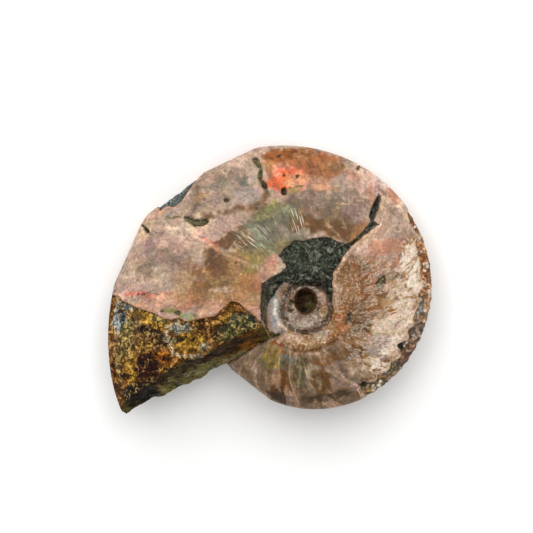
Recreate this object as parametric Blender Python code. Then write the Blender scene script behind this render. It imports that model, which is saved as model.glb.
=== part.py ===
# Iridescent ammonite: a small polished fossil, shell and stone grown together as one piece.
# It is modelled in millimetres around the axis of its coil, with its shown side facing +Z, then
# tilted on to the flank that it rests on and scaled to metres.

import math

import bmesh
import bpy
import numpy as np
from mathutils import Matrix, Vector, noise

# Coil, in millimetres and radians. Angles run with the growth of the shell, from +X towards +Y.
radiusAtZero = 24.75
growthRate = 0.1134
growthGain = 0.0069
innerGrowthRate = 0.11
firstMeasuredAngle = math.radians(-135)
breadthRatio = 0.22
umbilicusRatio = 0.2
flankPower = 2.2
venterPower = 0.62

# The last stretch before the break swells a little: angle, half width in degrees and rise.
swelling = (208, 14, 0.5)

# Flats ground on the margin: the bearing of each in degrees and its distance from the coil axis.
marginFlats = [(-128, 19.35), (115.2, 31.1), (127.5, 32.1), (156, 35.3)]
flatRounding = 60
flatDepth = 0.4

# Stretches of the coil, which overlap inside each other.
earlyStart = math.radians(-185)
earlyEnd = math.radians(112)
lateStart = math.radians(100)
lateEnd = math.radians(252)
stepDegrees = 1.5
stationCount = 64
marginCrowding = 1.7

# Umbilicus on the shown side: the last groove, the ring inside it and the hole in the middle.
grooveCentre = (0.2, -1.3)
grooveRadius = 4.7
floorHeight = 3.4
grooveDepth = 0.55
grooveWidth = 0.45
ringDrop = 0.25
ringRise = 0.35
ringWidth = 2.2
holeCentre = (0.1, 0.0)
holeRadii = (2.1, 2.5)
holeDepth = 3.0

# Fall of the umbilicus from its shoulder, as shares of the height and of the way to the groove:
# a steep wall over a level floor on the left, a rounded flank on the right, and a step and a slope
# under the matrix at the top. The wall reaches to these bearings either side of the left.
wallFall = 0.8
wallFoot = 0.36
wallBearing = math.radians(186)
wallReach = (math.radians(62), math.radians(35))
flankBend = 1.9
matrixStep = 0.14
matrixBend = 1.15
shoulderRatio = 0.3
hiddenShoulderRatio = 0.25

# Edge of the umbilicus on the shown side, from the broken end round by the left wall, the top and
# the stained seam on the right.
shoulderOutline = [
    (-7.3, -6.3), (-8.2, -4.5), (-8.5, -1.0), (-8.3, 3.4), (-6.7, 4.4), (-5.0, 5.3), (-3.6, 6.5),
    (-4.0, 7.6), (-5.1, 8.8), (-3.6, 10.5), (-2.1, 11.7), (1.1, 12.1), (4.4, 12.3), (8.1, 10.6),
    (9.6, 8.3), (10.7, 5.5), (11.3, 0.4), (9.9, -4.0), (6.8, -7.3), (2.2, -9.7), (-1.6, -9.8),
    (-5.5, -8.2),
]

# Dark matrix that still fills the upper and left part of the umbilicus.
matrixOutline = [
    (-7.0, -6.3), (-8.2, -4.5), (-8.5, -1.0), (-8.3, 3.4), (-6.7, 4.4), (-5.0, 5.3), (-3.6, 6.5),
    (-4.0, 7.6), (-5.1, 8.8), (-3.6, 10.5), (-2.1, 11.7), (-0.6, 11.5), (1.1, 12.1), (4.4, 12.3),
    (6.4, 11.3), (8.4, 11.0), (11.2, 13.4), (13.0, 15.6), (14.3, 14.9), (11.4, 12.9), (8.8, 10.7),
    (6.9, 7.7), (5.4, 5.4), (5.3, 3.1), (5.1, -0.4), (3.4, 2.8), (1.1, 3.1), (-2.3, 3.1),
    (-4.2, 3.8), (-5.3, 2.4), (-6.2, 0.4), (-7.7, -1.3), (-7.3, -2.1), (-6.2, -4.6), (-6.2, -6.8),
]
matrixDrop = 0.14
matrixLump = 0.28
matrixLumpSize = 1.5

# Edge of the later shell, which stands above the matrix on the right.
ledgeLine = [(14.4, 14.8), (11.4, 12.9), (8.8, 10.7), (6.9, 7.7), (5.4, 5.4), (5.3, 3.1)]
ledgeRise = 0.3
ledgeWidth = 0.7

# Stained seam round the inner flank on the right.
seamLine = [
    (-5.5, -8.2), (-1.6, -9.8), (2.2, -9.7), (6.8, -7.3), (9.9, -4.0), (11.3, 0.4), (10.6, 5.5),
    (9.3, 8.3),
]
seamDepth = 0.28
seamWidth = 0.4

# Lost shell at the broken end, which shows the stone infill, on the shown and the hidden side.
shellThickness = 0.5
lostShellShown = [
    (-39.5, 1.6), (-36.3, 0.9), (-35.6, 0.0), (-32.9, -1.1), (-29.3, -2.4), (-27.2, -3.4),
    (-25.9, -3.5), (-24.4, -3.3), (-23.2, -3.9), (-22.1, -3.7), (-17.4, -2.8), (-16.6, -2.0),
    (-14.2, 0.2), (-12.8, -0.4), (-10.0, -2.6), (-8.6, -4.0), (-7.3, -6.3), (-6.5, -14.0),
    (-24.0, -26.0), (-42.0, -24.0),
]
lostShellHidden = [
    (-39.5, 1.6), (-36.3, 0.9), (-34.2, -1.8), (-31.0, -2.2), (-28.4, -5.0), (-25.1, -4.6),
    (-21.8, -6.9), (-18.6, -5.2), (-15.9, -2.4), (-13.3, -3.1), (-11.2, -5.6), (-8.8, -6.4),
    (-6.5, -14.0), (-24.0, -26.0), (-42.0, -24.0),
]
infillLump = 0.14
infillLumpSize = 1.6

# Shell lost from the margin at the upper left, which shows blue-grey stone.
chipOutline = [
    (-29.8, 21.5), (-28.1, 18.0), (-26.9, 19.6), (-25.4, 19.1), (-23.9, 20.4), (-22.0, 22.9),
    (-21.8, 24.1), (-19.0, 26.5), (-24.0, 29.0),
]
chipLump = 0.12
chipLumpSize = 1.4

# Worn margin on the right, where the filling of the chambers shows as small crystals.
wornMargin = [
    (20.3, 18.5), (20.1, 17.0), (20.7, 14.8), (22.2, 12.9), (21.6, 11.3), (22.5, 7.6), (22.5, 5.5),
    (23.4, 2.8), (22.0, 1.2), (22.6, 0.1), (21.1, -3.5), (21.7, -4.3), (20.2, -5.8), (20.4, -7.6),
    (18.0, -8.5), (18.9, -11.1), (17.3, -11.7), (17.1, -13.3), (15.2, -14.5), (14.4, -15.7),
    (13.0, -18.5), (15.0, -24.0), (30.0, -20.0), (32.0, 20.0),
]
marginDrop = 0.1
crystalSize = 1.3
crystalRise = 0.75
crystalSteepness = 1.4

# On the polished rim relief is shallower: full where the skin faces the flanks, least on the rim.
rimFacing = (0.1, 0.6)
rimRelief = 0.25
edgeSoftness = 0.2

# Broken end: two faces that meet in a ridge, each with a point on it, the bearing of its line seen
# from the shown side, and its slope, positive where it faces the shown side. Then its lumps.
endFaces = [
    ((-20.8, -11.2, 7.0), math.radians(202.6), math.radians(28)),
    ((-24.6, -16.6, -1.0), math.radians(205.7), math.radians(-14)),
]
endLump = 0.45
endLumpSize = 3.2
endGrain = 0.22
endGrainSize = 1.4

# Open crack on the upper right: its outline and depth.
crackOutline = [
    (14.4, 20.9), (14.7, 19.8), (14.3, 18.1), (13.5, 16.5), (13.1, 15.2), (12.5, 16.5), (13.1, 18.4),
]
crackDepth = 1.1

# Pits: centre x and y, half length, half width, turn in degrees, depth.
pits = [
    (-21.3, 15.7, 2.3, 0.75, 0, 0.6),
    (-7.9, 22.6, 0.45, 0.9, 20, 0.6),
    (-9.4, 27.0, 0.5, 1.2, 35, 0.5),
    (-8.6, 24.4, 0.4, 1.2, 0, 0.4),
    (-4.1, 21.3, 0.6, 0.7, 0, 0.7),
    (-15.3, 19.6, 0.5, 0.4, 0, 0.5),
    (-24.7, -2.2, 0.6, 0.4, 0, 0.5),
    (8.2, -3.3, 0.4, 1.0, -12, 0.7),
    (16.2, 3.8, 1.1, 0.7, 30, 0.5),
    (19.1, -8.8, 0.8, 0.8, 0, 0.7),
    (11.4, -16.4, 1.0, 0.9, -35, 0.8),
    (-31.1, 14.1, 1.1, 0.3, -45, 0.7),
    (-2.6, -0.3, 0.4, 0.55, 0, 0.7),
    (-2.8, -1.7, 0.45, 0.45, 0, 0.7),
    (2.5, -1.4, 0.3, 0.35, 0, 0.5),
]

# Bit of matrix left on the earlier whorl just under the broken end.
remnantCentre = (-13.5, -12.3, -0.5)
remnantRadii = (1.9, 0.9, 3.0)
remnantTurn = math.radians(-44)

# How the fossil lies: the flank that it rests on leans out of the coil's middle plane by this much
# towards this bearing, and is worn flat where it touches.
restLean = math.radians(8.8)
restLeanTowards = math.radians(97)
restWear = 0.3

voxelSize = 0.36
triangleTarget = 9300
sharpAngle = math.radians(35)
millimetre = 0.001

stone = {"name": "ammonite shell and stone", "colour": (0.42, 0.31, 0.26, 1), "roughness": 0.32}


def clearScene():
    for item in list(bpy.data.objects):
        bpy.data.objects.remove(item, do_unlink=True)


def venterRadius(angle):
    late = radiusAtZero * np.exp(growthRate * angle + growthGain * angle ** 2)
    place, halfWidth, rise = swelling
    late = late + rise * np.exp(-((np.degrees(angle) - place) / halfWidth) ** 2)
    joint = growthRate * firstMeasuredAngle + growthGain * firstMeasuredAngle ** 2
    early = radiusAtZero * np.exp(joint + innerGrowthRate * (angle - firstMeasuredAngle))
    return np.where(angle > firstMeasuredAngle, late, early)


def ramp(low, high, value):
    # Smooth rise from 0 at low to 1 at high.
    part = np.clip((value - low) / (high - low), 0, 1)
    return part * part * (3 - 2 * part)


def lineDistance(points, line):
    # Distance of each point from an open line through the given corners.
    best = np.full(len(points), 1e9)
    for start, end in zip(line[:-1], line[1:]):
        origin = np.array(start)
        run = np.array(end) - origin
        along = np.clip((points - origin) @ run / (run @ run), 0, 1)
        best = np.minimum(best, np.linalg.norm(points - origin - along[:, None] * run, axis=1))
    return best


def outlineDistance(points, outline):
    # Distance from a closed outline, negative inside it.
    within = np.zeros(len(points), bool)
    for (x1, y1), (x2, y2) in zip(outline, outline[1:] + outline[:1]):
        crosses = (y1 > points[:, 1]) != (y2 > points[:, 1])
        reach = x1 + (points[:, 1] - y1) * (x2 - x1) / ((y2 - y1) or 1e-9)
        within ^= crosses & (points[:, 0] < reach)
    distance = lineDistance(points, outline + outline[:1])
    return np.where(within, -distance, distance)


def inside(points, outline, softness):
    # 1 inside the outline, 0 outside, with a soft edge.
    return ramp(softness, -softness, outlineDistance(points, outline))


def nearLine(points, line, width):
    # 1 on the line, falling to 0 within about two widths.
    return np.exp(-(lineDistance(points, line) / width) ** 2)


def hiddenShoulder():
    # The hidden side's umbilicus is a plain spiral edge.
    angles = np.radians(np.arange(-142, 218, 12))
    radii = venterRadius(angles) * hiddenShoulderRatio
    return [(float(r * math.cos(a)), float(r * math.sin(a))) for r, a in zip(radii, angles)]


def groundRadius(angle):
    # The margin's radius with the flats ground on it.
    ground = venterRadius(angle)
    for bearing, distance in marginFlats:
        away = np.cos(angle - math.radians(bearing))
        onThisWhorl = np.abs(np.degrees(angle) - bearing) < 60
        ground = np.where(onThisWhorl, np.minimum(ground, distance / np.maximum(away, 0.1)), ground)
    return ground


def flankHeight(angle, radius):
    # Half breadth of the whorl at this place, without the umbilicus.
    outer = venterRadius(angle)
    inner = outer * umbilicusRatio
    place = np.clip((radius - inner) / (outer - inner), 0, 1)
    flank = breadthRatio * outer * (1 - place ** flankPower) ** venterPower
    ground = groundRadius(angle)
    closing = np.sqrt(1 - np.clip(radius / ground, 0, 1) ** flatRounding)
    return flank * closing ** np.clip((outer - ground) / flatDepth, 0, 1)


def umbilicusHeight(points, rim, shown):
    # The umbilicus falls from the shoulder, of height rim, to the groove, ring and hole inside it.
    outline = shoulderOutline if shown else hiddenShoulder()
    fromShoulder = np.maximum(-outlineDistance(points, outline), 0)
    fromCentre = np.linalg.norm(points - np.array(grooveCentre), axis=1)
    fromGroove = fromCentre - grooveRadius
    depth = fromShoulder / (fromShoulder + np.maximum(fromGroove, 0) + 1e-6)
    bearing = np.arctan2(points[:, 1] - grooveCentre[1], points[:, 0] - grooveCentre[0])
    fall = wallFall * ramp(0, wallFoot, depth) + (1 - wallFall) * depth
    if shown:
        far, near = np.cos(wallReach)
        onWall = ramp(far, near, np.cos(bearing - wallBearing))
        inMatrix = inside(points, matrixOutline, edgeSoftness)
        bent = depth ** flankBend
        sloped = matrixStep + (1 - matrixStep) * depth ** matrixBend
        open_ = bent + (sloped - bent) * inMatrix
        fall = open_ + (fall - open_) * onWall
    height = rim - (rim - floorHeight) * fall
    height = height - grooveDepth * np.exp(-(fromGroove / grooveWidth) ** 2)
    acrossRing = np.clip(-fromGroove / ringWidth, 0, 1)
    ring = floorHeight - ringDrop + ringRise * np.sin(math.pi * acrossRing)
    height = np.where(fromGroove < -grooveWidth, ring, height)
    holeShape = np.linalg.norm((points - np.array(holeCentre)) / np.array(holeRadii), axis=1)
    return height - holeDepth * ramp(1.12, 0.8, holeShape)


def sideHeight(angle, radius, shown):
    # Height of one side of the fossil over the middle plane of the coil.
    points = np.stack([radius * np.cos(angle), radius * np.sin(angle)], axis=1)
    flank = flankHeight(angle, radius)
    rim = flankHeight(angle, np.maximum(radius, shoulderRatio * venterRadius(angle)))
    outline = shoulderOutline if shown else hiddenShoulder()
    sunk = np.minimum(flank, umbilicusHeight(points, rim, shown))
    return np.where(outlineDistance(points, outline) < 0, sunk, flank)


def makeWhorl(start, end):
    # A sheet rolled into a stretch of the coil: its length follows the growth and its width runs
    # from the axis over the shown side to the margin and back over the hidden side.
    steps = round(math.degrees(end - start) / stepDegrees)
    bm = bmesh.new()
    bmesh.ops.create_grid(bm, x_segments=steps, y_segments=2 * stationCount + 2, size=1)
    sheet = np.array([vert.co for vert in bm.verts])
    angle = start + (end - start) * (sheet[:, 0] + 1) / 2
    lastRow = stationCount / (stationCount + 1)
    width = np.clip(sheet[:, 1] / lastRow, -1, 1)
    radius = groundRadius(angle) * (1 - np.abs(width) ** marginCrowding)
    shownSide = sideHeight(angle, radius, True)
    hiddenSide = sideHeight(angle, radius, False)
    onSkin = (np.abs(width) > 1e-6) & (np.abs(sheet[:, 1]) < 0.999)
    height = np.where(width > 0, shownSide, -hiddenSide) * onSkin
    for vert, a, r, z in zip(bm.verts, angle, radius, height):
        vert.co = (r * math.cos(a), r * math.sin(a), z)
    bmesh.ops.remove_doubles(bm, verts=bm.verts, dist=1e-4)
    bmesh.ops.holes_fill(bm, edges=[edge for edge in bm.edges if edge.is_boundary])
    bmesh.ops.recalc_face_normals(bm, faces=bm.faces)
    return bm


def faceNormal(bearing, slope):
    # Out of the whorl, square to the face's line, and leaning towards the shown side by its slope.
    across = bearing + math.pi / 2
    level = math.cos(slope)
    return Vector((math.cos(across) * level, math.sin(across) * level, math.sin(slope)))


def cutAway(bm, point, normal):
    # Removes what lies beyond a plane and closes the cut.
    geometry = list(bm.verts) + list(bm.edges) + list(bm.faces)
    cut = bmesh.ops.bisect_plane(
        bm, geom=geometry, plane_co=point, plane_no=normal, clear_outer=True)
    edges = [item for item in cut["geom_cut"] if isinstance(item, bmesh.types.BMEdge)]
    bmesh.ops.holes_fill(bm, edges=edges)


def breakEnd(bm):
    # The last whorl ends at the break.
    for point, bearing, slope in endFaces:
        cutAway(bm, point, faceNormal(bearing, slope))


def makeRemnant():
    bm = bmesh.new()
    shape = Matrix.Rotation(remnantTurn, 4, "Z") @ Matrix.Diagonal(remnantRadii).to_4x4()
    place = Matrix.Translation(remnantCentre) @ shape
    bmesh.ops.create_icosphere(bm, subdivisions=2, radius=1, matrix=place)
    return bm


def joinBodies(bodies):
    mesh = bpy.data.meshes.new("ammonite")
    joined = bmesh.new()
    for bm in bodies:
        bm.to_mesh(mesh)
        joined.from_mesh(mesh)
        bm.free()
    joined.to_mesh(mesh)
    joined.free()
    return mesh


def applyModifiers(item):
    # Replaces the object's mesh with its evaluated shape and clears its modifiers.
    evaluated = item.evaluated_get(bpy.context.evaluated_depsgraph_get())
    mesh = bpy.data.meshes.new_from_object(evaluated)
    item.modifiers.clear()
    item.data = mesh


def fuse(item):
    # One closed skin round the overlapping stretches of the coil.
    remesh = item.modifiers.new("fuse", "REMESH")
    remesh.mode = "VOXEL"
    remesh.voxel_size = voxelSize
    applyModifiers(item)


def lumps(points, size, seed):
    # Smooth noise between about -1 and 1.
    shift = Vector((seed * 7.3, seed * 3.1, seed * 5.7))
    return np.array([noise.noise(Vector(p) / size + shift) for p in points]) * 1.8


def crystals(points, size):
    # Low pyramids with flat faces, one on each cell of a Voronoi pattern.
    rise = np.empty(len(points))
    for index, point in enumerate(points):
        distances, centres = noise.voronoi(Vector(point) / size)
        rise[index] = 1 - min(distances[0] * crystalSteepness, 1)
    return rise


def pitDepth(points):
    total = np.zeros(len(points))
    for x, y, length, width, turn, depth in pits:
        angle = math.radians(turn)
        away = points - np.array((x, y))
        along = away[:, 0] * math.cos(angle) + away[:, 1] * math.sin(angle)
        across = away[:, 1] * math.cos(angle) - away[:, 0] * math.sin(angle)
        reach = np.hypot(along / length, across / width)
        total = np.maximum(total, depth * ramp(1.25, 0.6, reach))
    return total


def weather(item):
    # Moves the skin in or out along its normals for lost shell, matrix, crystals, seams and pits.
    mesh = item.data
    points = np.empty(len(mesh.vertices) * 3, np.float32)
    mesh.vertices.foreach_get("co", points)
    points = points.reshape(-1, 3).astype(float)
    normals = np.array([vertex.normal for vertex in mesh.vertices])
    plan = points[:, :2]
    shown = points[:, 2] > 0
    endDistance = np.full(len(points), -1e9)
    onEnd = np.zeros(len(points))
    for point, bearing, slope in endFaces:
        normal = np.array(faceNormal(bearing, slope))
        beyond = (points - np.array(point)) @ normal
        onEnd = np.maximum(onEnd, ramp(-1.0, -0.1, beyond) * (normals @ normal > 0.8))
        endDistance = np.maximum(endDistance, beyond)
    onLast = endDistance < 0.3
    onEnd = onEnd * onLast

    facing = ramp(rimFacing[0], rimFacing[1], np.abs(normals[:, 2]))
    lostShown = inside(plan, lostShellShown, edgeSoftness)
    lostHidden = inside(plan, lostShellHidden, edgeSoftness)
    bare = np.where(shown, lostShown, lostHidden) * onLast * (1 - onEnd)
    chipped = inside(plan, chipOutline, edgeSoftness)
    worn = inside(plan, wornMargin, edgeSoftness)
    dark = inside(plan, matrixOutline, edgeSoftness) * shown

    move = bare * facing * (infillLump * lumps(points, infillLumpSize, 1) - shellThickness)
    move += chipped * (chipLump * lumps(points, chipLumpSize, 2) - shellThickness)
    hollow = marginDrop + crystalRise * (1 - crystals(points, crystalSize))
    move -= worn * hollow * (rimRelief + (1 - rimRelief) * facing)
    move += dark * (matrixLump * lumps(points, matrixLumpSize, 3) - matrixDrop)
    move += onEnd * endLump * lumps(points, endLumpSize, 4)
    move += onEnd * endGrain * lumps(points, endGrainSize, 5)
    move += shown * ledgeRise * nearLine(plan, ledgeLine, ledgeWidth) * (1 - dark)
    move -= shown * seamDepth * nearLine(plan, seamLine, seamWidth)
    move -= shown * crackDepth * inside(plan, crackOutline, edgeSoftness)
    move -= shown * pitDepth(plan)

    points += normals * move[:, None]
    mesh.vertices.foreach_set("co", points.astype(np.float32).ravel())
    mesh.update()


def thin(item):
    # Fewer, larger faces where the skin is smooth.
    mesh = item.data
    mesh.calc_loop_triangles()
    decimate = item.modifiers.new("thin", "DECIMATE")
    decimate.ratio = triangleTarget / len(mesh.loop_triangles)
    decimate.use_collapse_triangulate = True
    applyModifiers(item)


def layDown(item):
    # Leans the coil on to its resting flank and cuts the flats that it rests on.
    axis = Vector((-math.sin(restLeanTowards), math.cos(restLeanTowards), 0))
    lean = Matrix.Rotation(restLean, 4, axis)
    bm = bmesh.new()
    bm.from_mesh(item.data)
    bm.transform(lean)
    lowest = min(vert.co.z for vert in bm.verts)
    cutAway(bm, (0, 0, lowest + restWear), (0, 0, -1))
    bmesh.ops.dissolve_degenerate(bm, dist=0.01, edges=bm.edges)
    bmesh.ops.triangulate(bm, faces=bm.faces)
    bmesh.ops.recalc_face_normals(bm, faces=bm.faces)
    bm.to_mesh(item.data)
    bm.free()


def centre(item):
    # The origin is under the middle of the box, on the resting plane.
    corners = np.array([vertex.co for vertex in item.data.vertices])
    middle = (corners.min(axis=0) + corners.max(axis=0)) / 2
    shift = Matrix.Translation((-middle[0], -middle[1], -corners[:, 2].min()))
    item.data.transform(Matrix.Scale(millimetre, 4) @ shift)


def makeMaterial():
    material = bpy.data.materials.new(stone["name"])
    material.use_nodes = True
    shader = material.node_tree.nodes["Principled BSDF"]
    shader.inputs["Base Color"].default_value = stone["colour"]
    shader.inputs["Roughness"].default_value = stone["roughness"]
    shader.inputs["Metallic"].default_value = 0.0
    return material


def makeAmmonite():
    early = makeWhorl(earlyStart, earlyEnd)
    late = makeWhorl(lateStart, lateEnd)
    breakEnd(late)
    item = bpy.data.objects.new("ammonite", joinBodies([early, late, makeRemnant()]))
    bpy.context.scene.collection.objects.link(item)
    fuse(item)
    weather(item)
    thin(item)
    layDown(item)
    centre(item)
    item.data.materials.clear()
    item.data.materials.append(makeMaterial())
    item.data.shade_smooth()
    item.data.set_sharp_from_angle(angle=sharpAngle)
    return item


clearScene()
makeAmmonite()
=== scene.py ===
import math

import bmesh
import bpy
import numpy as np
from mathutils import Matrix, Vector, noise


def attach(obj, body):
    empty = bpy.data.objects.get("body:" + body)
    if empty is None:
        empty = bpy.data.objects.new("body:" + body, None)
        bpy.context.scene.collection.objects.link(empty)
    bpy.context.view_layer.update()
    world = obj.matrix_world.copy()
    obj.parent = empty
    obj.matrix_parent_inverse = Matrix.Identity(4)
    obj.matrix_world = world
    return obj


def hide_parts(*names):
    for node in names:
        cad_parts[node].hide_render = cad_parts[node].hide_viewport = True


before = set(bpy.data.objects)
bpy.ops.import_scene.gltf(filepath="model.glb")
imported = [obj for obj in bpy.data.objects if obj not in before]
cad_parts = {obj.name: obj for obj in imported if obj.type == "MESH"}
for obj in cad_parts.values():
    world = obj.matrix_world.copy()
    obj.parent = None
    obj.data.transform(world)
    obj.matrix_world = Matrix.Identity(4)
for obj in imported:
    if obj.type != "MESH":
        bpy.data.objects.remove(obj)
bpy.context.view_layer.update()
millimetre = 0.001
print("frame loaded")

# Shapes are worked out in millimetres in the coil's own frame: the origin is on the axis of the coil,
# Z points out of the shown side, and angles run with the growth of the shell, from +X towards +Y.
coil = {
    "radiusAtZero": 24.75,
    "growthRate": 0.1134,
    "growthGain": 0.0069,
    "innerGrowthRate": 0.11,
    "firstMeasuredAngle": math.radians(-135),
    "breadthRatio": 0.22,
    "umbilicusRatio": 0.2,
    "flankPower": 2.2,
    "venterPower": 0.62,
    "swelling": (208, 14, 0.5),  # angle, half width in degrees, rise
    "marginFlats": [(-128, 19.35), (115.2, 31.1), (127.5, 32.1), (156, 35.3)],  # bearing, distance
    "flatReach": 60,  # degrees each side of its bearing
    "flatRounding": 60,
    "flatDepth": 0.4,
    "leastCosine": 0.1,
    "early": (math.radians(-185), math.radians(112)),  # two stretches that overlap
    "late": (math.radians(100), math.radians(252)),
    "lateBearing": math.radians(-100),  # below this bearing the last whorl has passed half a turn
    "stepDegrees": 0.6,
    "stations": 150,
    "marginCrowding": 1.7,
    "weld": 1e-4,
    "skinSize": 0.295,  # edge of a face of the fused skin
    "growthLean": 0.35,  # how far the growth lines lag behind towards the margin
    "midFlank": 18,  # radius and width of the flank that patterns along and across the coil take
    "flankWidth": 28,
}

# The umbilicus falls from its shoulder to a groove, with a ring and a hole inside that.
umbilicus = {
    "grooveCentre": (0.2, -1.3),
    "grooveRadius": 4.7,
    "grooveDepth": 0.55,
    "grooveWidth": 0.45,
    "floorHeight": 3.4,
    "ringDrop": 0.25,
    "ringRise": 0.35,
    "ringWidth": 2.2,
    "ringOverlap": 0.5,
    "holeCentre": (0.1, 0.0),
    "holeRadii": (2.1, 2.5),
    "holeDepth": 3.0,
    "holeEdge": (1.12, 0.8),  # where its wall starts and ends, as shares of its radii
    "holeStain": 1.05,
    "holeScale": 2,  # millimetres for a share of 1
    "wallFall": 0.8,
    "wallFoot": 0.36,
    "wallBearing": math.radians(186),
    "wallReach": (math.radians(62), math.radians(35)),
    "flankBend": 1.9,
    "matrixStep": 0.14,
    "matrixBend": 1.15,
    "matrixEdge": 0.2,
    "shoulderRatio": 0.3,
    "hiddenShoulderRatio": 0.25,
    "hiddenShoulderStart": -142,  # degrees
    "outlineStep": 12,
    "shoulder": [
        (-7.3, -6.3), (-8.2, -4.5), (-8.5, -1.0), (-8.3, 3.4), (-6.7, 4.4), (-5.0, 5.3), (-3.6, 6.5),
        (-4.0, 7.6), (-5.1, 8.8), (-3.6, 10.5), (-2.1, 11.7), (1.1, 12.1), (4.4, 12.3), (8.1, 10.6),
        (9.6, 8.3), (10.7, 5.5), (11.3, 0.4), (9.9, -4.0), (6.8, -7.3), (2.2, -9.7), (-1.6, -9.8),
        (-5.5, -8.2),
    ],
}

# Outlines of what lies on the skin, seen from the shown side.
matrixOutline = [
    (-8.0, -5.4), (-8.5, -3.4), (-8.6, -1.0), (-8.3, 3.4), (-6.7, 4.4), (-5.0, 5.3), (-3.6, 6.5),
    (-4.0, 7.6), (-5.1, 8.8), (-3.6, 10.5), (-2.1, 11.7), (-0.6, 11.5), (1.1, 12.1), (4.4, 12.3),
    (6.4, 11.3), (8.4, 11.0), (11.2, 13.4), (13.0, 15.6), (14.3, 14.9), (11.4, 12.9), (8.8, 10.7),
    (6.9, 7.7), (5.4, 5.4), (5.3, 3.1), (5.1, -0.4), (3.4, 2.8), (1.1, 3.1), (-2.3, 3.1),
    (-4.2, 3.8), (-5.3, 2.4), (-6.7, 0.4), (-7.5, -1.3), (-7.4, -3.1), (-7.3, -5.6),
]
lostShellShown = [
    (-39.5, 1.6), (-36.3, 0.9), (-35.6, 0.0), (-32.9, -1.1), (-29.3, -2.4), (-27.2, -3.4),
    (-25.9, -3.5), (-24.4, -3.3), (-23.2, -3.9), (-22.1, -3.7), (-17.4, -2.8), (-16.6, -2.0),
    (-14.2, 0.2), (-12.8, -0.4), (-10.0, -2.6), (-8.6, -4.0), (-7.3, -6.3), (-6.5, -14.0),
    (-24.0, -26.0), (-42.0, -24.0),
]
lostShellHidden = [
    (-39.5, 1.6), (-36.3, 0.9), (-34.2, -1.8), (-31.0, -2.2), (-28.4, -5.0), (-25.1, -4.6),
    (-21.8, -6.9), (-18.6, -5.2), (-15.9, -2.4), (-13.3, -3.1), (-11.2, -5.6), (-8.8, -6.4),
    (-6.5, -14.0), (-24.0, -26.0), (-42.0, -24.0),
]
chipOutline = [
    (-29.6, 21.5), (-28.3, 17.6), (-26.9, 18.6), (-25.4, 18.4), (-24.0, 19.6), (-22.6, 21.6),
    (-21.5, 23.3), (-19.0, 26.0), (-24.0, 29.0),
]
wornMargin = [
    (20.3, 18.5), (20.1, 17.0), (20.7, 14.8), (22.2, 12.9), (21.6, 11.3), (22.5, 7.6), (22.5, 5.5),
    (23.4, 2.8), (22.0, 1.2), (22.6, 0.1), (21.1, -3.5), (21.7, -4.3), (20.2, -5.8), (20.4, -7.6),
    (18.0, -8.5), (18.9, -11.1), (16.8, -11.9), (16.6, -13.4), (14.4, -14.4), (13.8, -16.0),
    (11.2, -16.0), (10.8, -17.4), (12.4, -19.2), (14.0, -24.0), (30.0, -20.0), (32.0, 20.0),
]
crackOutline = [
    (14.4, 20.9), (14.7, 19.8), (14.3, 18.1), (13.5, 16.5), (13.1, 15.2), (12.5, 16.5), (13.1, 18.4),
]
ledgeLine = [(14.4, 14.8), (11.4, 12.9), (8.8, 10.7), (6.9, 7.7), (5.4, 5.4), (5.3, 3.1)]
seamLine = [
    (-5.5, -8.2), (-1.6, -9.8), (2.2, -9.7), (6.8, -7.3), (9.9, -4.0), (11.3, 0.4), (10.6, 5.5),
    (9.3, 8.3),
]
collarOutline = seamLine + [
    (6.9, 7.7), (5.4, 5.4), (5.1, -0.4), (0.2, 3.4), (-4.6, 2.4), (-5.2, -2.0), (-4.2, -5.0),
    (-6.4, -6.8),
]
chambersOutline = [
    (-8.4, -8.6), (-5.5, -8.2), (-1.6, -9.8), (2.2, -9.7), (6.8, -7.3), (8.8, -8.6), (13.7, -13.4),
    (17.6, -16.4), (17.6, -24.0), (-20.0, -24.0), (-14.0, -12.0),
]
calciteOutline = [
    (9.3, 8.3), (10.6, 5.5), (11.3, 0.4), (9.9, -4.0), (6.8, -7.3), (7.4, -11.0), (13.0, -14.4),
    (18.4, -18.4), (32.0, -20.0), (32.0, 14.0), (22.0, 13.0), (17.0, 8.0),
]
# Ovals where pale hairlines cross the shell: centre x and y, half length, half width, turn.
streakPatches = [(-10.2, 12.3, 3.4, 3.0, 0), (-2.6, 15.4, 2.4, 2.4, 0)]

# Depths, rises and sizes of the relief.
relief = {
    "edgeSoftness": 0.12,
    "shellThickness": 0.5,
    "rimFacing": (0.1, 0.6),
    "rimRelief": 0.25,
    "marginDrop": 0.1,
    "crystalRise": 0.75,
    "crystalSize": 1.3,
    "smallCrystalRise": 0.22,
    "smallCrystalSize": 0.75,
    "crystalSteepness": 1.4,
    "matrixDrop": 0.14,
    "ledge": (0.3, 0.7),  # rise or depth, width
    "seam": (0.28, 0.4),
    "crackDepth": 1.1,
    "strataTurn": math.radians(203),
    "strataSize": (5.0, 0.8, 0.8),
    "strataRise": 0.16,
    "strataSeed": 6,
}

# Rough ground: what carries it, height and size of its lumps, seed.
lumpLayers = [
    ("infill", 0.14, 1.6, 1), ("infill", 0.08, 0.75, 11),
    ("chip", 0.12, 1.4, 2), ("chip", 0.07, 0.7, 12),
    ("matrix", 0.28, 1.5, 3), ("matrix", 0.13, 0.65, 13),
    ("end", 0.45, 3.2, 4), ("end", 0.22, 1.4, 5), ("end", 0.08, 0.7, 14),
    ("collar", 0.05, 0.7, 15), ("calcite", 0.05, 1.1, 16),
]

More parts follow.
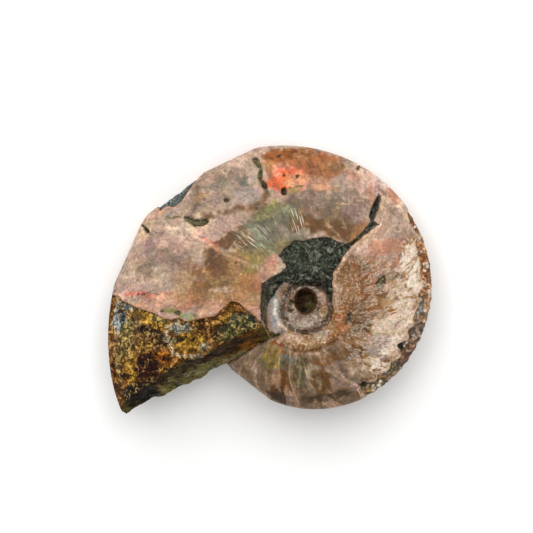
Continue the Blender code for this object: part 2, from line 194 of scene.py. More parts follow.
brokenEnd = {
    # A point on each face, the bearing of its line seen from the shown side, and its slope.
    "faces": [
        ((-20.8, -11.2, 7.0), math.radians(202.6), math.radians(28)),
        ((-24.6, -16.6, -1.0), math.radians(205.7), math.radians(-14)),
    ],
    "reach": (-1.0, -0.1),  # how near a face, and how square to it, the broken stone starts and ends
    "turn": (0.7, 0.85),
    "slack": 0.3,
    "fromAxis": (7.6, 8.6),
    "maskDepth": 3,
    "remnantCentre": (-13.5, -12.3, -0.5),
    "remnantRadii": (1.9, 0.9, 3.0),
    "remnantTurn": math.radians(-44),
}

# Pits: centre x and y, half length, half width, turn in degrees, depth.
pits = [
    (-20.4, 15.3, 1.6, 0.7, 6, 0.45), (-22.2, 15.7, 1.4, 0.6, -22, 0.45),
    (-7.9, 22.6, 0.45, 0.9, 20, 0.6), (-9.4, 27.0, 0.5, 1.2, 35, 0.5),
    (-8.6, 24.4, 0.4, 1.2, 0, 0.4), (-4.1, 21.3, 0.6, 0.7, 0, 0.7), (-15.3, 19.6, 0.5, 0.4, 0, 0.5),
    (-24.7, -2.2, 0.6, 0.4, 0, 0.5), (8.2, -3.3, 0.4, 1.0, -12, 0.7), (14.7, 3.7, 1.4, 0.8, 65, 0.5),
    (19.1, -8.8, 0.8, 0.8, 0, 0.7), (11.4, -16.4, 1.0, 0.9, -35, 0.8),
    (-31.1, 14.1, 1.1, 0.3, -45, 0.7),
    (-31.4, 1.4, 0.3, 0.25, 0, 0.4), (-32.4, 1.3, 0.25, 0.25, 0, 0.4), (-28.7, 1.3, 0.35, 0.25, 0, 0.4),
    (-27.9, -2.0, 0.4, 0.25, 0, 0.4), (-4.0, 24.5, 0.3, 0.25, 0, 0.4), (-1.5, 24.2, 0.3, 0.25, 0, 0.4),
    (10.4, 25.9, 0.35, 0.35, 0, 0.5), (-5.1, 28.3, 0.4, 0.3, 0, 0.4), (-13.2, 7.6, 0.35, 0.25, 0, 0.4),
    (-2.6, -0.3, 0.4, 0.55, 0, 0.7), (-2.8, -1.7, 0.45, 0.45, 0, 0.7), (2.5, -1.4, 0.3, 0.35, 0, 0.5),
]

# The flank that it rests on leans out of the coil's middle plane, and is worn flat where it touches.
lying = {"lean": math.radians(8.8), "towards": math.radians(97), "wear": 0.3}


def ramp(low, high, value):
    part = np.clip((value - low) / (high - low), 0, 1)
    return part * part * (3 - 2 * part)


def venterRadius(angle):
    late = coil["radiusAtZero"] * np.exp(coil["growthRate"] * angle + coil["growthGain"] * angle ** 2)
    place, halfWidth, rise = coil["swelling"]
    late = late + rise * np.exp(-((np.degrees(angle) - place) / halfWidth) ** 2)
    first = coil["firstMeasuredAngle"]
    joint = coil["growthRate"] * first + coil["growthGain"] * first ** 2
    early = coil["radiusAtZero"] * np.exp(joint + coil["innerGrowthRate"] * (angle - first))
    return np.where(angle > first, late, early)


def lineDistance(points, line):
    best = np.full(len(points), 1e9)
    for start, end in zip(line[:-1], line[1:]):
        origin = np.array(start)
        run = np.array(end) - origin
        along = np.clip((points - origin) @ run / (run @ run), 0, 1)
        best = np.minimum(best, np.linalg.norm(points - origin - along[:, None] * run, axis=1))
    return best


def depthInside(points, outline):
    # Distance in from a closed outline, negative outside it.
    within = np.zeros(len(points), bool)
    for (x1, y1), (x2, y2) in zip(outline, outline[1:] + outline[:1]):
        crosses = (y1 > points[:, 1]) != (y2 > points[:, 1])
        reach = x1 + (points[:, 1] - y1) * (x2 - x1) / ((y2 - y1) or 1e-9)
        within ^= crosses & (points[:, 0] < reach)
    distance = lineDistance(points, outline + outline[:1])
    return np.where(within, distance, -distance)


def soften(depth, softness):
    # 1 inside, 0 outside, with a soft edge.
    return ramp(-softness, softness, depth)


def hiddenShoulder():
    start = umbilicus["hiddenShoulderStart"]
    angles = np.radians(np.arange(start, start + 360, umbilicus["outlineStep"]))
    radii = venterRadius(angles) * umbilicus["hiddenShoulderRatio"]
    return [(float(r * math.cos(a)), float(r * math.sin(a))) for r, a in zip(radii, angles)]


def groundRadius(angle):
    ground = venterRadius(angle)
    for bearing, distance in coil["marginFlats"]:
        away = np.cos(angle - math.radians(bearing))
        straight = np.minimum(ground, distance / np.maximum(away, coil["leastCosine"]))
        onThisWhorl = np.abs(np.degrees(angle) - bearing) < coil["flatReach"]
        ground = np.where(onThisWhorl, straight, ground)
    return ground


def flankHeight(angle, radius):
    outer = venterRadius(angle)
    inner = outer * coil["umbilicusRatio"]
    place = np.clip((radius - inner) / (outer - inner), 0, 1)
    flank = coil["breadthRatio"] * outer * (1 - place ** coil["flankPower"]) ** coil["venterPower"]
    ground = groundRadius(angle)
    closing = np.sqrt(1 - np.clip(radius / ground, 0, 1) ** coil["flatRounding"])
    return flank * closing ** np.clip((outer - ground) / coil["flatDepth"], 0, 1)


def fromHole(points):
    # Distance from the middle of the oval hole: 1 on its outline.
    away = (points - np.array(umbilicus["holeCentre"])) / np.array(umbilicus["holeRadii"])
    return np.linalg.norm(away, axis=1)


def umbilicusHeight(points, rim, shown):
    u = umbilicus
    outline = u["shoulder"] if shown else hiddenShoulder()
    fromShoulder = np.maximum(depthInside(points, outline), 0)
    centre = np.array(u["grooveCentre"])
    fromGroove = np.linalg.norm(points - centre, axis=1) - u["grooveRadius"]
    depth = fromShoulder / (fromShoulder + np.maximum(fromGroove, 0) + 1e-6)
    fall = u["wallFall"] * ramp(0, u["wallFoot"], depth) + (1 - u["wallFall"]) * depth
    if shown:
        bearing = np.arctan2(points[:, 1] - centre[1], points[:, 0] - centre[0])
        far, near = np.cos(u["wallReach"])
        onWall = ramp(far, near, np.cos(bearing - u["wallBearing"]))
        inMatrix = soften(depthInside(points, matrixOutline), u["matrixEdge"])
        bent = depth ** u["flankBend"]
        sloped = u["matrixStep"] + (1 - u["matrixStep"]) * depth ** u["matrixBend"]
        opened = bent + (sloped - bent) * inMatrix
        fall = opened + (fall - opened) * onWall
    height = rim - (rim - u["floorHeight"]) * fall
    height = height - u["grooveDepth"] * np.exp(-(fromGroove / u["grooveWidth"]) ** 2)
    acrossRing = np.clip(-fromGroove / u["ringWidth"], 0, 1)
    ring = u["floorHeight"] - u["ringDrop"] + u["ringRise"] * np.sin(math.pi * acrossRing)
    height = np.where(fromGroove < -u["grooveWidth"], ring, height)
    return height - u["holeDepth"] * ramp(*u["holeEdge"], fromHole(points))


def sideHeight(angle, radius, shown):
    points = np.stack([radius * np.cos(angle), radius * np.sin(angle)], axis=1)
    flank = flankHeight(angle, radius)
    rim = flankHeight(angle, np.maximum(radius, umbilicus["shoulderRatio"] * venterRadius(angle)))
    outline = umbilicus["shoulder"] if shown else hiddenShoulder()
    sunk = np.minimum(flank, umbilicusHeight(points, rim, shown))
    return np.where(depthInside(points, outline) > 0, sunk, flank)


def makeWhorl(start, end):
    # A sheet rolled into a stretch of the coil: its length follows the growth and its width runs
    # from the axis over the shown side to the margin and back over the hidden side.
    steps = round(math.degrees(end - start) / coil["stepDegrees"])
    bm = bmesh.new()
    bmesh.ops.create_grid(bm, x_segments=steps, y_segments=2 * coil["stations"] + 2, size=1)
    sheet = np.array([vert.co for vert in bm.verts])
    angle = start + (end - start) * (sheet[:, 0] + 1) / 2
    lastRow = coil["stations"] / (coil["stations"] + 1)
    width = np.clip(sheet[:, 1] / lastRow, -1, 1)
    radius = groundRadius(angle) * (1 - np.abs(width) ** coil["marginCrowding"])
    height = np.where(width > 0, sideHeight(angle, radius, True), -sideHeight(angle, radius, False))
    # The middle line of the sheet is the margin, and its two edges meet on the axis.
    height = height * ((np.abs(width) > 1e-6) & (np.abs(sheet[:, 1]) < 0.999))
    for vert, a, r, z in zip(bm.verts, angle, radius, height):
        vert.co = (r * math.cos(a), r * math.sin(a), z)
    bmesh.ops.remove_doubles(bm, verts=bm.verts, dist=coil["weld"])
    bmesh.ops.holes_fill(bm, edges=[edge for edge in bm.edges if edge.is_boundary])
    bmesh.ops.recalc_face_normals(bm, faces=bm.faces)
    return bm


def faceNormal(bearing, slope):
    across = bearing + math.pi / 2
    level = math.cos(slope)
    return Vector((math.cos(across) * level, math.sin(across) * level, math.sin(slope)))


def cutAway(bm, point, normal):
    # Removes what lies beyond a plane and closes the cut.
    geometry = list(bm.verts) + list(bm.edges) + list(bm.faces)
    cut = bmesh.ops.bisect_plane(bm, geom=geometry, plane_co=point, plane_no=normal, clear_outer=True)
    edges = [item for item in cut["geom_cut"] if isinstance(item, bmesh.types.BMEdge)]
    bmesh.ops.holes_fill(bm, edges=edges)


def makeRemnant():
    # A bit of matrix left on the earlier whorl just under the broken end.
    bm = bmesh.new()
    turn = Matrix.Rotation(brokenEnd["remnantTurn"], 4, "Z")
    shape = turn @ Matrix.Diagonal(brokenEnd["remnantRadii"]).to_4x4()
    place = Matrix.Translation(brokenEnd["remnantCentre"]) @ shape
    bmesh.ops.create_icosphere(bm, subdivisions=4, radius=1, matrix=place)
    return bm


def fuse(bodies):
    # One closed skin of even faces round the overlapping stretches of the coil.
    mesh = bpy.data.meshes.new("ammoniteFossil")
    joined = bmesh.new()
    for bm in bodies:
        bm.to_mesh(mesh)
        joined.from_mesh(mesh)
        bm.free()
    joined.to_mesh(mesh)
    joined.free()
    item = bpy.data.objects.new("ammoniteFossil", mesh)
    bpy.context.scene.collection.objects.link(item)
    remesh = item.modifiers.new("fuse", "REMESH")
    remesh.mode = "VOXEL"
    remesh.voxel_size = coil["skinSize"]
    evaluated = item.evaluated_get(bpy.context.evaluated_depsgraph_get())
    skin = bpy.data.meshes.new_from_object(evaluated)
    item.modifiers.clear()
    item.data = skin
    return item


seedStep = np.array((7.3, 3.1, 5.7))  # each seed looks at another part of the noise
noiseGain = 1.8


def lumps(points, size, seed):
    # Smooth noise between about -1 and 1.
    places = points / size + seed * seedStep
    return np.array([noise.noise(place) for place in places.tolist()]) * noiseGain


def crystals(points, size):
    # Low pyramids with flat faces, one on each cell of a Voronoi pattern.
    nearest = [noise.voronoi(place)[0][0] for place in (points / size).tolist()]
    return 1 - np.minimum(np.array(nearest) * relief["crystalSteepness"], 1)


def pitDepth(points):
    total = np.zeros(len(points))
    for *patch, depth in pits:
        total = np.maximum(total, depth * oval(points, *patch))
    return total


def oval(points, x, y, length, width, turn, soft=(1.25, 0.6)):
    # 1 in the middle of an oval, 0 outside it.
    angle = math.radians(turn)
    away = points - np.array((x, y))
    along = away[:, 0] * math.cos(angle) + away[:, 1] * math.sin(angle)
    across = away[:, 1] * math.cos(angle) - away[:, 0] * math.sin(angle)
    return ramp(soft[0], soft[1], np.hypot(along / length, across / width))


def readMesh(mesh):
    points = np.empty(len(mesh.vertices) * 3, np.float32)
    normals = np.empty(len(mesh.vertices) * 3, np.float32)
    mesh.vertices.foreach_get("co", points)
    mesh.vertices.foreach_get("normal", normals)
    return points.reshape(-1, 3).astype(float), normals.reshape(-1, 3).astype(float)


def survey(points, normals):
    # How far each point of the skin lies inside each kind of ground, in millimetres, and where on
    # the coil it is.
    plan = points[:, :2]
    shown = points[:, 2] > 0
    endDistance = np.full(len(points), -1e9)
    onEnd = np.zeros(len(points))
    for point, bearing, slope in brokenEnd["faces"]:
        normal = np.array(faceNormal(bearing, slope))
        beyond = (points - np.array(point)) @ normal
        near, turned = brokenEnd["reach"], brokenEnd["turn"]
        onEnd = np.maximum(onEnd, ramp(*near, beyond) * ramp(*turned, normals @ normal))
        endDistance = np.maximum(endDistance, beyond)
    onLast = endDistance < brokenEnd["slack"]
    onEnd = onEnd * onLast * ramp(*brokenEnd["fromAxis"], np.linalg.norm(plan, axis=1))

    bearing = np.arctan2(plan[:, 1], plan[:, 0])
    onLate = (bearing < coil["lateBearing"]) & onLast
    angle = np.where(onLate, bearing + 2 * math.pi, bearing)
    share = np.linalg.norm(plan, axis=1) / venterRadius(angle)

    away = -5.0  # well outside, past any wandering edge
    lost = np.where(shown, depthInside(plan, lostShellShown), depthInside(plan, lostShellHidden))
    grooveCentre = np.array(umbilicus["grooveCentre"])
    insideGroove = umbilicus["grooveRadius"] - np.linalg.norm(plan - grooveCentre, axis=1)
    inHole = umbilicus["holeStain"] - fromHole(plan)
    collar = np.maximum(depthInside(plan, collarOutline), insideGroove)
    matrix = np.maximum(depthInside(plan, matrixOutline), depthInside(plan, crackOutline))
    return {
        "plan": plan, "shown": shown, "angle": angle, "share": share,
        "infill": np.where(onLast, lost, away),
        "end": (2 * onEnd - 1) * brokenEnd["maskDepth"],
        "chip": depthInside(plan, chipOutline),
        "worn": depthInside(plan, wornMargin),
        "matrix": np.where(shown, matrix, away),
        "streaked": shown * np.max([oval(plan, *patch) for patch in streakPatches], axis=0),
        "collar": np.where(shown, collar, away),
        "calcite": depthInside(plan, calciteOutline),
        "chambers": np.where(onLate, away, depthInside(plan, chambersOutline)),
        "hole": np.where(shown, inHole * umbilicus["holeScale"], away),
        "ring": np.where(shown, umbilicus["ringOverlap"] + insideGroove, away),
        "facing": ramp(*relief["rimFacing"], np.abs(normals[:, 2])),
    }


def weather(item, points, normals, ground):
    # Moves the skin in or out along its normals for lost shell, matrix, crystals, seams and pits.
    plan, shown, facing = ground["plan"], ground["shown"], ground["facing"]
    soft = relief["edgeSoftness"]
    kinds = ("infill", "chip", "worn", "matrix", "collar", "calcite")
    cover = {name: soften(ground[name], soft) for name in kinds}
    cover["end"] = (ground["end"] / brokenEnd["maskDepth"] + 1) / 2
    cover["infill"] = cover["infill"] * (1 - cover["end"])
    cover["calcite"] = cover["calcite"] * (1 - cover["worn"])
    thickness = relief["shellThickness"]
    move = -cover["infill"] * facing * thickness - cover["chip"] * thickness
    for name, height, size, seed in lumpLayers:
        strength = cover[name] * (facing if name == "infill" else 1)
        move += strength * height * lumps(points, size, seed)
    between = 1 - crystals(points, relief["crystalSize"])
    hollow = relief["marginDrop"] + relief["crystalRise"] * between
    between = 1 - crystals(points, relief["smallCrystalSize"])
    hollow += relief["smallCrystalRise"] * between
    move -= cover["worn"] * hollow * (relief["rimRelief"] + (1 - relief["rimRelief"]) * facing)
    move -= cover["matrix"] * relief["matrixDrop"]
    turn = relief["strataTurn"]
    along = plan @ np.array((math.cos(turn), math.sin(turn)))
    across = plan @ np.array((-math.sin(turn), math.cos(turn)))
    strata = np.stack([along, across, points[:, 2]], axis=1) / np.array(relief["strataSize"])
    move += cover["end"] * relief["strataRise"] * lumps(strata, 1, relief["strataSeed"])
    rise, width = relief["ledge"]
    ledge = rise * np.exp(-(lineDistance(plan, ledgeLine) / width) ** 2)
    move += shown * ledge * (1 - cover["matrix"])
    depth, width = relief["seam"]
    move -= shown * depth * np.exp(-(lineDistance(plan, seamLine) / width) ** 2)
    move -= shown * relief["crackDepth"] * soften(depthInside(plan, crackOutline), soft)
    move -= shown * pitDepth(plan)
    points = points + normals * move[:, None]
    item.data.vertices.foreach_set("co", points.astype(np.float32).ravel())
    item.data.update()


def channels(code):
    return np.array([int(code[i:i + 2], 16) for i in (1, 3, 5)]) / 255


def toLinear(shares):
    return np.where(shares <= 0.04045, shares / 12.92, ((shares + 0.055) / 1.055) ** 2.4)


# Pigments of the shell and the minerals.
palette = {
    "mauve": "#A28673", "dusk": "#7A6454", "lilac": "#958079", "rose": "#A9765A", "pink": "#CC6F58",
    "sand": "#C2A18A", "cream": "#CFAE8F", "pearl": "#E6D3BF", "peach": "#CB8E62", "tan": "#8A6238",
    "umber": "#553003", "rust": "#82430A", "khaki": "#80682C", "amber": "#8C4C0C", "ochre": "#8C681E",
    "orange": "#A4520C", "flame": "#CE581F", "brick": "#8C5026", "olive": "#6B6036", "moss": "#453F1C",
    "lime": "#7D7830", "sage": "#514D32", "mint": "#7F8C66", "slate": "#5A666A", "steel": "#7C868A",
    "ice": "#A8C0C6", "ash": "#9A9080", "clay": "#664F37", "bark": "#2C1C0D", "maroon": "#2D0B05",
    "pitch": "#0F0A06", "straw": "#A0844C", "jade": "#232A22", "fern": "#474F40",
}
# The colour under the stains of each kind of ground, from the lowest kind to the topmost.
groundColours = {
    "shell": "mauve", "chambers": "clay", "calcite": "tan", "collar": "tan", "ring": "dusk",
    "hole": "bark", "matrix": "jade", "worn": "tan", "chip": "slate", "infill": "umber",
    "end": "moss",
}

# Stains, tints and mineral patches, with a few painted highlights and painted shades among them:
# centre x and y, half length, half width, turn in degrees, pigment, strength.
tints = {
    "shell": [
        # satin left part
        (-30.0, 6.6, 6.5, 4.0, 8, "dusk", 0.15), (-33.8, 10.5, 2.2, 4.4, -15, "sand", 0.5),
        (-27.0, 13.0, 5.0, 2.0, 20, "mauve", 0.5), (-26.4, 8.6, 5.0, 2.2, 5, "dusk", 0.5),
        (-31.4, 12.4, 3.0, 3.0, -30, "lilac", 0.5), (-30.4, 16.4, 3.0, 0.7, 40, "pearl", 0.4),
        (-31.0, 4.4, 6.5, 0.7, 0, "sand", 0.4), (-29.3, 2.7, 6.5, 0.8, 0, "lilac", 0.4),
        (-36.6, 8.0, 0.8, 4.4, -10, "tan", 0.8), (-35.9, 7.0, 0.7, 2.0, -14, "umber", 0.8),
        (-36.6, 0.4, 1.4, 1.2, 0, "cream", 0.9), (-30.0, 16.6, 2.6, 1.6, 40, "rose", 0.5),
        (-33.8, 5.0, 1.6, 2.6, 0, "sand", 0.4),
        # pink and green bands beside the broken edge
        (-30.6, 1.5, 5.4, 0.55, 0, "pink", 0.75), (-25.5, 1.2, 6.0, 0.5, -1, "rose", 0.9),
        # The small pearl spot at -33.3, 0.8 is a painted highlight.
        (-29.0, -0.1, 6.5, 0.8, -5, "sand", 0.5), (-33.3, 0.8, 0.5, 0.3, 0, "pearl", 0.7),
        (-20.0, -0.4, 6.0, 0.8, 2, "rose", 0.8), (-25.6, -2.0, 3.0, 0.65, -10, "lime", 0.75),
        (-22.3, -2.4, 2.0, 0.6, 0, "mint", 0.8), (-18.6, -1.6, 3.4, 1.0, 16, "rose", 0.7),
        (-30.9, -1.2, 2.8, 0.5, -20, "peach", 0.6), (-14.6, 3.8, 5.2, 4.2, 0, "khaki", 0.85),
        (-14.0, 1.5, 4.6, 1.6, 8, "tan", 0.8), (-18.6, 2.8, 4.5, 0.8, 4, "tan", 0.8),
        (-17.5, 1.7, 5.0, 0.3, 3, "sand", 0.8), (-16.0, 3.2, 5.0, 0.4, 6, "umber", 0.5),
        # olive and orange beside the matrix
        (-11.8, 8.0, 4.4, 3.0, 20, "khaki", 0.9), (-14.2, 4.8, 4.0, 1.2, 10, "tan", 0.8),
        (-10.4, 3.4, 2.6, 2.4, 0, "brick", 0.6), (-9.6, -1.2, 1.4, 2.4, 0, "rose", 0.8),
        (-7.6, 6.0, 2.4, 1.4, 34, "rose", 0.8), (-6.6, 8.0, 1.8, 0.9, 40, "rose", 0.6),
        (-12.6, 6.2, 2.6, 0.8, 14, "lime", 0.3),
        # brown stains
        (-15.4, 7.0, 4.2, 3.0, 10, "tan", 0.8), (-17.6, 7.9, 2.0, 2.2, 0, "umber", 1.0),
        (-18.6, 8.6, 1.2, 1.3, 0, "umber", 0.8), (-19.0, 3.6, 0.8, 1.0, 0, "umber", 0.9),
        (-15.2, 11.9, 3.4, 1.1, 27, "umber", 0.95), (-12.4, 13.3, 1.5, 1.2, 20, "umber", 0.8),
        (-17.8, 9.9, 1.8, 0.6, -25, "rust", 0.6), (-10.5, 11.0, 2.2, 1.3, 30, "clay", 0.8),
        (-16.6, 6.6, 2.4, 2.0, 0, "umber", 0.7), (-5.9, -2.6, 1.2, 3.6, 8, "steel", 0.75),
        # pink, cream and blue-grey clouds on the upper left
        (-18.4, 11.2, 2.2, 0.6, -28, "pink", 0.5), (-20.8, 13.8, 1.7, 0.8, 10, "cream", 0.5),
        (-26.2, 14.4, 1.7, 1.3, -20, "sand", 0.6), (-21.2, 15.5, 3.1, 1.2, -4, "cream", 0.5),
        (-22.0, 10.9, 3.4, 1.2, -35, "sand", 0.55), (-24.6, 8.0, 3.0, 1.2, -20, "dusk", 0.5),
        (-25.0, 17.3, 1.6, 0.7, 30, "ash", 0.4),
        # mauve lobe at the top left
        (-18.0, 21.5, 6.5, 3.2, 30, "dusk", 0.55), (-12.2, 23.4, 1.2, 1.4, 15, "fern", 0.6),
        (-14.4, 24.6, 3.4, 1.1, 22, "dusk", 0.7), (-11.0, 20.4, 2.4, 1.9, 0, "lilac", 0.6),
        (-16.8, 22.6, 2.2, 0.8, 10, "fern", 0.35), (-12.4, 27.4, 4.0, 0.9, 24, "sand", 0.7),
        (-23.2, 21.2, 1.9, 0.45, 46, "cream", 0.9), (-20.0, 24.6, 1.6, 0.6, 30, "dusk", 0.6),
        (-27.4, 17.8, 1.5, 0.4, 45, "peach", 0.7), (-20.6, 20.0, 1.6, 1.0, 30, "tan", 0.6),
        # green and blue-green flash
        (-5.4, 14.2, 8.5, 4.4, 18, "sage", 0.85), (-4.6, 14.6, 6.0, 3.2, 18, "ash", 0.15),
        (-8.0, 17.0, 2.8, 1.3, 35, "olive", 0.9), (-6.0, 18.6, 1.6, 1.6, 40, "lime", 0.6),
        (-6.0, 13.6, 5.5, 1.8, 0, "dusk", 0.35), (-9.4, 13.4, 2.8, 0.7, -42, "mint", 0.4),
        (-1.6, 13.4, 3.4, 1.3, -8, "ash", 0.35), (-5.4, 10.4, 3.6, 1.4, 20, "olive", 0.7),
        (-3.4, 17.6, 1.4, 0.8, 20, "mint", 0.6), (-7.6, 10.2, 2.6, 0.4, -32, "mint", 0.6),
        (-0.4, 17.2, 1.3, 0.8, 0, "tan", 0.7), (-3.0, 18.9, 1.6, 0.9, 10, "olive", 0.6),
        # red and orange flash at the top
        (-2.4, 24.0, 5.6, 3.0, 4, "rose", 0.7), (-3.4, 23.6, 4.6, 2.8, 8, "pink", 0.65),
        (-4.6, 23.6, 2.6, 2.0, 10, "flame", 0.8), (-6.0, 24.8, 1.2, 1.1, 0, "pink", 0.85),
        (-1.0, 25.0, 1.8, 0.9, 0, "flame", 0.5), (-6.6, 26.6, 1.4, 1.6, 20, "orange", 0.5),
        (-5.9, 22.4, 1.2, 1.4, 0, "flame", 0.9), (-2.6, 21.6, 1.9, 0.6, 30, "lime", 0.6),
        (-1.4, 23.4, 2.4, 1.3, 10, "peach", 0.7), (-5.9, 25.8, 0.8, 0.7, 0, "peach", 0.8),
        (0.6, 27.4, 6.8, 2.4, -6, "brick", 0.9), (-4.4, 28.6, 4.0, 1.1, 12, "rust", 0.8),
        (3.4, 24.8, 3.8, 1.1, -6, "brick", 0.75), (6.4, 25.8, 2.6, 0.9, -14, "tan", 0.8),
        # mauve and grey shell at the upper right
        (3.6, 22.0, 3.2, 1.6, 0, "rose", 0.75), (0.6, 19.8, 4.4, 1.8, 10, "clay", 0.6),
        (2.8, 21.8, 1.4, 0.9, 0, "peach", 0.6), (6.4, 18.2, 5.6, 3.6, 15, "dusk", 0.75),
        (13.4, 22.6, 5.4, 3.2, -42, "sand", 0.9), (9.0, 24.6, 2.6, 1.0, -20, "rose", 0.5),
        (15.2, 23.0, 3.6, 0.9, -45, "pearl", 0.4), (18.6, 18.6, 2.8, 1.4, -60, "sand", 0.9),
        (17.1, 20.4, 2.0, 1.1, -52, "rose", 0.9), (12.9, 19.6, 0.8, 2.4, 12, "rose", 0.8),
        (5.6, 18.8, 3.4, 1.0, 10, "clay", 0.5), (1.6, 17.6, 2.2, 0.8, -8, "rose", 0.4),
        # brown band over the matrix
        (0.4, 15.0, 3.4, 1.6, -8, "umber", 0.85), (4.6, 14.2, 3.4, 1.7, -20, "umber", 0.85),
        (8.4, 13.4, 3.2, 2.2, -30, "umber", 0.85), (10.2, 13.6, 2.4, 1.2, 40, "tan", 0.8),
        (6.0, 16.4, 4.6, 1.2, -16, "clay", 0.8), (-1.2, 15.6, 1.2, 1.0, 0, "olive", 0.7),
        # right of the crack
        (17.6, 15.0, 3.4, 3.4, 0, "mauve", 0.5), (15.6, 10.6, 4.2, 1.4, 8, "rose", 0.85),
        (13.6, 14.4, 1.2, 1.0, 0, "sand", 0.7), (19.4, 17.2, 1.0, 2.6, 30, "cream", 0.8),
        (11.0, 10.6, 1.2, 1.8, -40, "sand", 0.7), (15.0, 17.4, 1.0, 1.6, 20, "sand", 0.5),
        # brown and rose bands that shade the left part towards the broken edge
        (-22.2, 3.6, 3.6, 4.6, 0, "tan", 0.55), (-20.8, 5.8, 1.6, 1.3, 0, "umber", 0.55),
        (-20.6, 1.6, 2.4, 2.2, 0, "umber", 0.45), (-27.5, 0.0, 4.5, 0.9, -3, "rose", 0.6),
        (-12.5, 0.2, 3.4, 1.5, 0, "tan", 0.7), (-12.5, 11.0, 1.6, 1.1, 20, "umber", 0.6),
        (-31.6, 14.0, 2.2, 1.6, 30, "cream", 0.7), (-37.0, 0.4, 1.2, 1.2, 0, "pearl", 0.6),
        (20.5, 10.8, 1.4, 2.8, 8, "tan", 0.6),
        # olive patch under the umbilicus
        (-5.6, -10.2, 3.4, 1.5, 20, "olive", 0.8), (-8.0, -12.0, 1.6, 1.6, 0, "sage", 0.6),
    ],
    "chambers": [
        (-6.2, -10.8, 3.4, 2.4, 20, "khaki", 0.9), (-8.8, -13.0, 0.9, 2.6, -30, "dusk", 0.8),
        (-8.0, -12.0, 1.4, 1.4, 0, "sage", 0.5), (-5.0, -16.4, 2.0, 2.6, -20, "umber", 0.85),
        (-1.0, -13.5, 1.8, 3.6, 0, "moss", 0.7), (1.6, -14.8, 1.2, 3.4, 0, "ash", 0.5),
        (3.0, -15.8, 1.6, 2.6, 0, "umber", 0.7), (6.6, -14.0, 2.4, 3.0, 20, "dusk", 0.8),
        # The bark bands at y -18.6 and -18.8 are painted shade along the lower margin.
        (8.8, -12.6, 1.2, 2.6, 30, "sand", 0.5), (4.6, -18.6, 5.0, 0.8, 8, "bark", 0.7),
        (-4.4, -18.8, 2.8, 1.4, -30, "bark", 0.9), (10.2, -16.4, 1.6, 1.2, 20, "lilac", 0.7),
        (13.4, -16.8, 3.0, 2.4, 20, "umber", 0.7), (4.6, -11.0, 3.4, 1.2, 14, "umber", 0.6),
        (9.4, -9.6, 2.0, 1.4, 40, "umber", 0.6), (12.8, -12.2, 1.6, 1.2, 0, "ash", 0.7),
        (12.0, -13.8, 1.4, 1.4, 0, "ash", 0.5), (-4.0, -12.6, 1.4, 1.4, 0, "sage", 0.6),
        (-3.4, -10.8, 1.4, 0.9, 0, "slate", 0.5),
    ],
    "calcite": [
        (11.2, -3.7, 3.4, 3.6, 0, "tan", 0.6), (11.0, -3.7, 2.6, 2.6, 0, "umber", 0.8),
        (12.8, 1.0, 2.2, 4.2, 0, "amber", 0.45), (18.2, 3.4, 4.0, 5.4, 0, "cream", 0.4),
        (16.4, -5.6, 3.6, 3.6, -30, "pearl", 0.7), (19.2, 7.4, 2.4, 2.0, 0, "rose", 0.7),
        (17.2, 5.6, 1.6, 1.2, 0, "clay", 0.6), (18.6, -1.6, 2.6, 1.6, 0, "pearl", 0.6),
        (14.0, -8.6, 3.2, 1.8, 20, "lilac", 0.6), (12.4, 8.0, 3.4, 1.2, 20, "tan", 0.5),
        (15.4, 8.8, 3.0, 1.0, 10, "pink", 0.35), (14.1, -9.8, 2.4, 1.3, 20, "ash", 0.7),
        (12.4, 5.0, 2.2, 3.0, 0, "brick", 0.5), (15.8, -9.6, 2.6, 2.2, 20, "lilac", 0.6),
        (14.4, 1.8, 1.8, 0.8, -20, "umber", 0.6), (10.8, 6.6, 1.4, 1.6, 0, "clay", 0.6),
        (9.0, -9.6, 2.2, 1.4, 30, "umber", 0.7), (16.6, -1.6, 1.5, 0.6, 10, "amber", 0.9),
        (15.9, 7.6, 3.4, 0.9, 0, "rose", 0.7), (18.6, -0.2, 2.4, 1.0, 0, "pearl", 0.6),
        (20.6, 9.4, 1.4, 4.6, 8, "tan", 0.75), (20.6, -2.5, 1.4, 1.4, 0, "pearl", 0.8),
        (9.6, -4.0, 1.8, 2.8, 0, "umber", 0.8), (14.8, -2.4, 1.8, 1.2, 0, "tan", 0.8),
        (14.8, -13.4, 1.8, 1.4, 20, "tan", 0.8), (17.4, -10.6, 1.6, 1.3, 20, "cream", 0.9),
    ],
    "infill": [
        (-33.0, -6.0, 5.0, 5.0, 0, "olive", 0.6), (-13.0, -5.0, 5.0, 2.6, 30, "fern", 0.8),
        (-31.0, -6.0, 8.0, 6.0, 0, "tan", 0.6), (-34.4, -4.6, 2.6, 1.6, 0, "olive", 0.7),
        (-37.2, -9.0, 0.8, 6.6, 4, "tan", 0.8), (-37.0, -3.0, 0.8, 4.0, -4, "ash", 0.8),
        (-28.0, -4.6, 3.0, 1.2, -10, "ochre", 0.6), (-28.9, -2.8, 2.2, 1.0, -15, "olive", 0.8),
        (-36.6, -3.0, 1.3, 3.0, -6, "steel", 0.8), (-34.5, -0.9, 1.5, 0.8, -10, "slate", 0.8),
        (-36.4, -1.4, 0.8, 0.7, 0, "bark", 0.8), (-30.5, -3.8, 1.2, 1.1, 0, "ochre", 1.0),
        (-31.4, -2.6, 1.8, 0.6, -18, "ochre", 0.8), (-31.2, -5.7, 2.4, 1.3, -10, "bark", 0.95),
        (-35.3, -7.0, 1.5, 3.2, 0, "olive", 0.6), (-33.0, -4.8, 1.6, 1.0, 0, "clay", 0.5),
        (-31.4, -12.4, 2.8, 2.8, 0, "maroon", 1.0), (-31.0, -9.2, 2.4, 1.3, 20, "ochre", 0.5),
        (-27.4, -11.0, 2.3, 1.2, -24, "amber", 0.9), (-34.2, -15.0, 1.3, 3.2, 12, "ochre", 1.0),
        (-34.8, -16.4, 0.6, 3.2, 12, "amber", 0.7), (-36.2, -9.4, 1.0, 2.4, 0, "moss", 0.6),
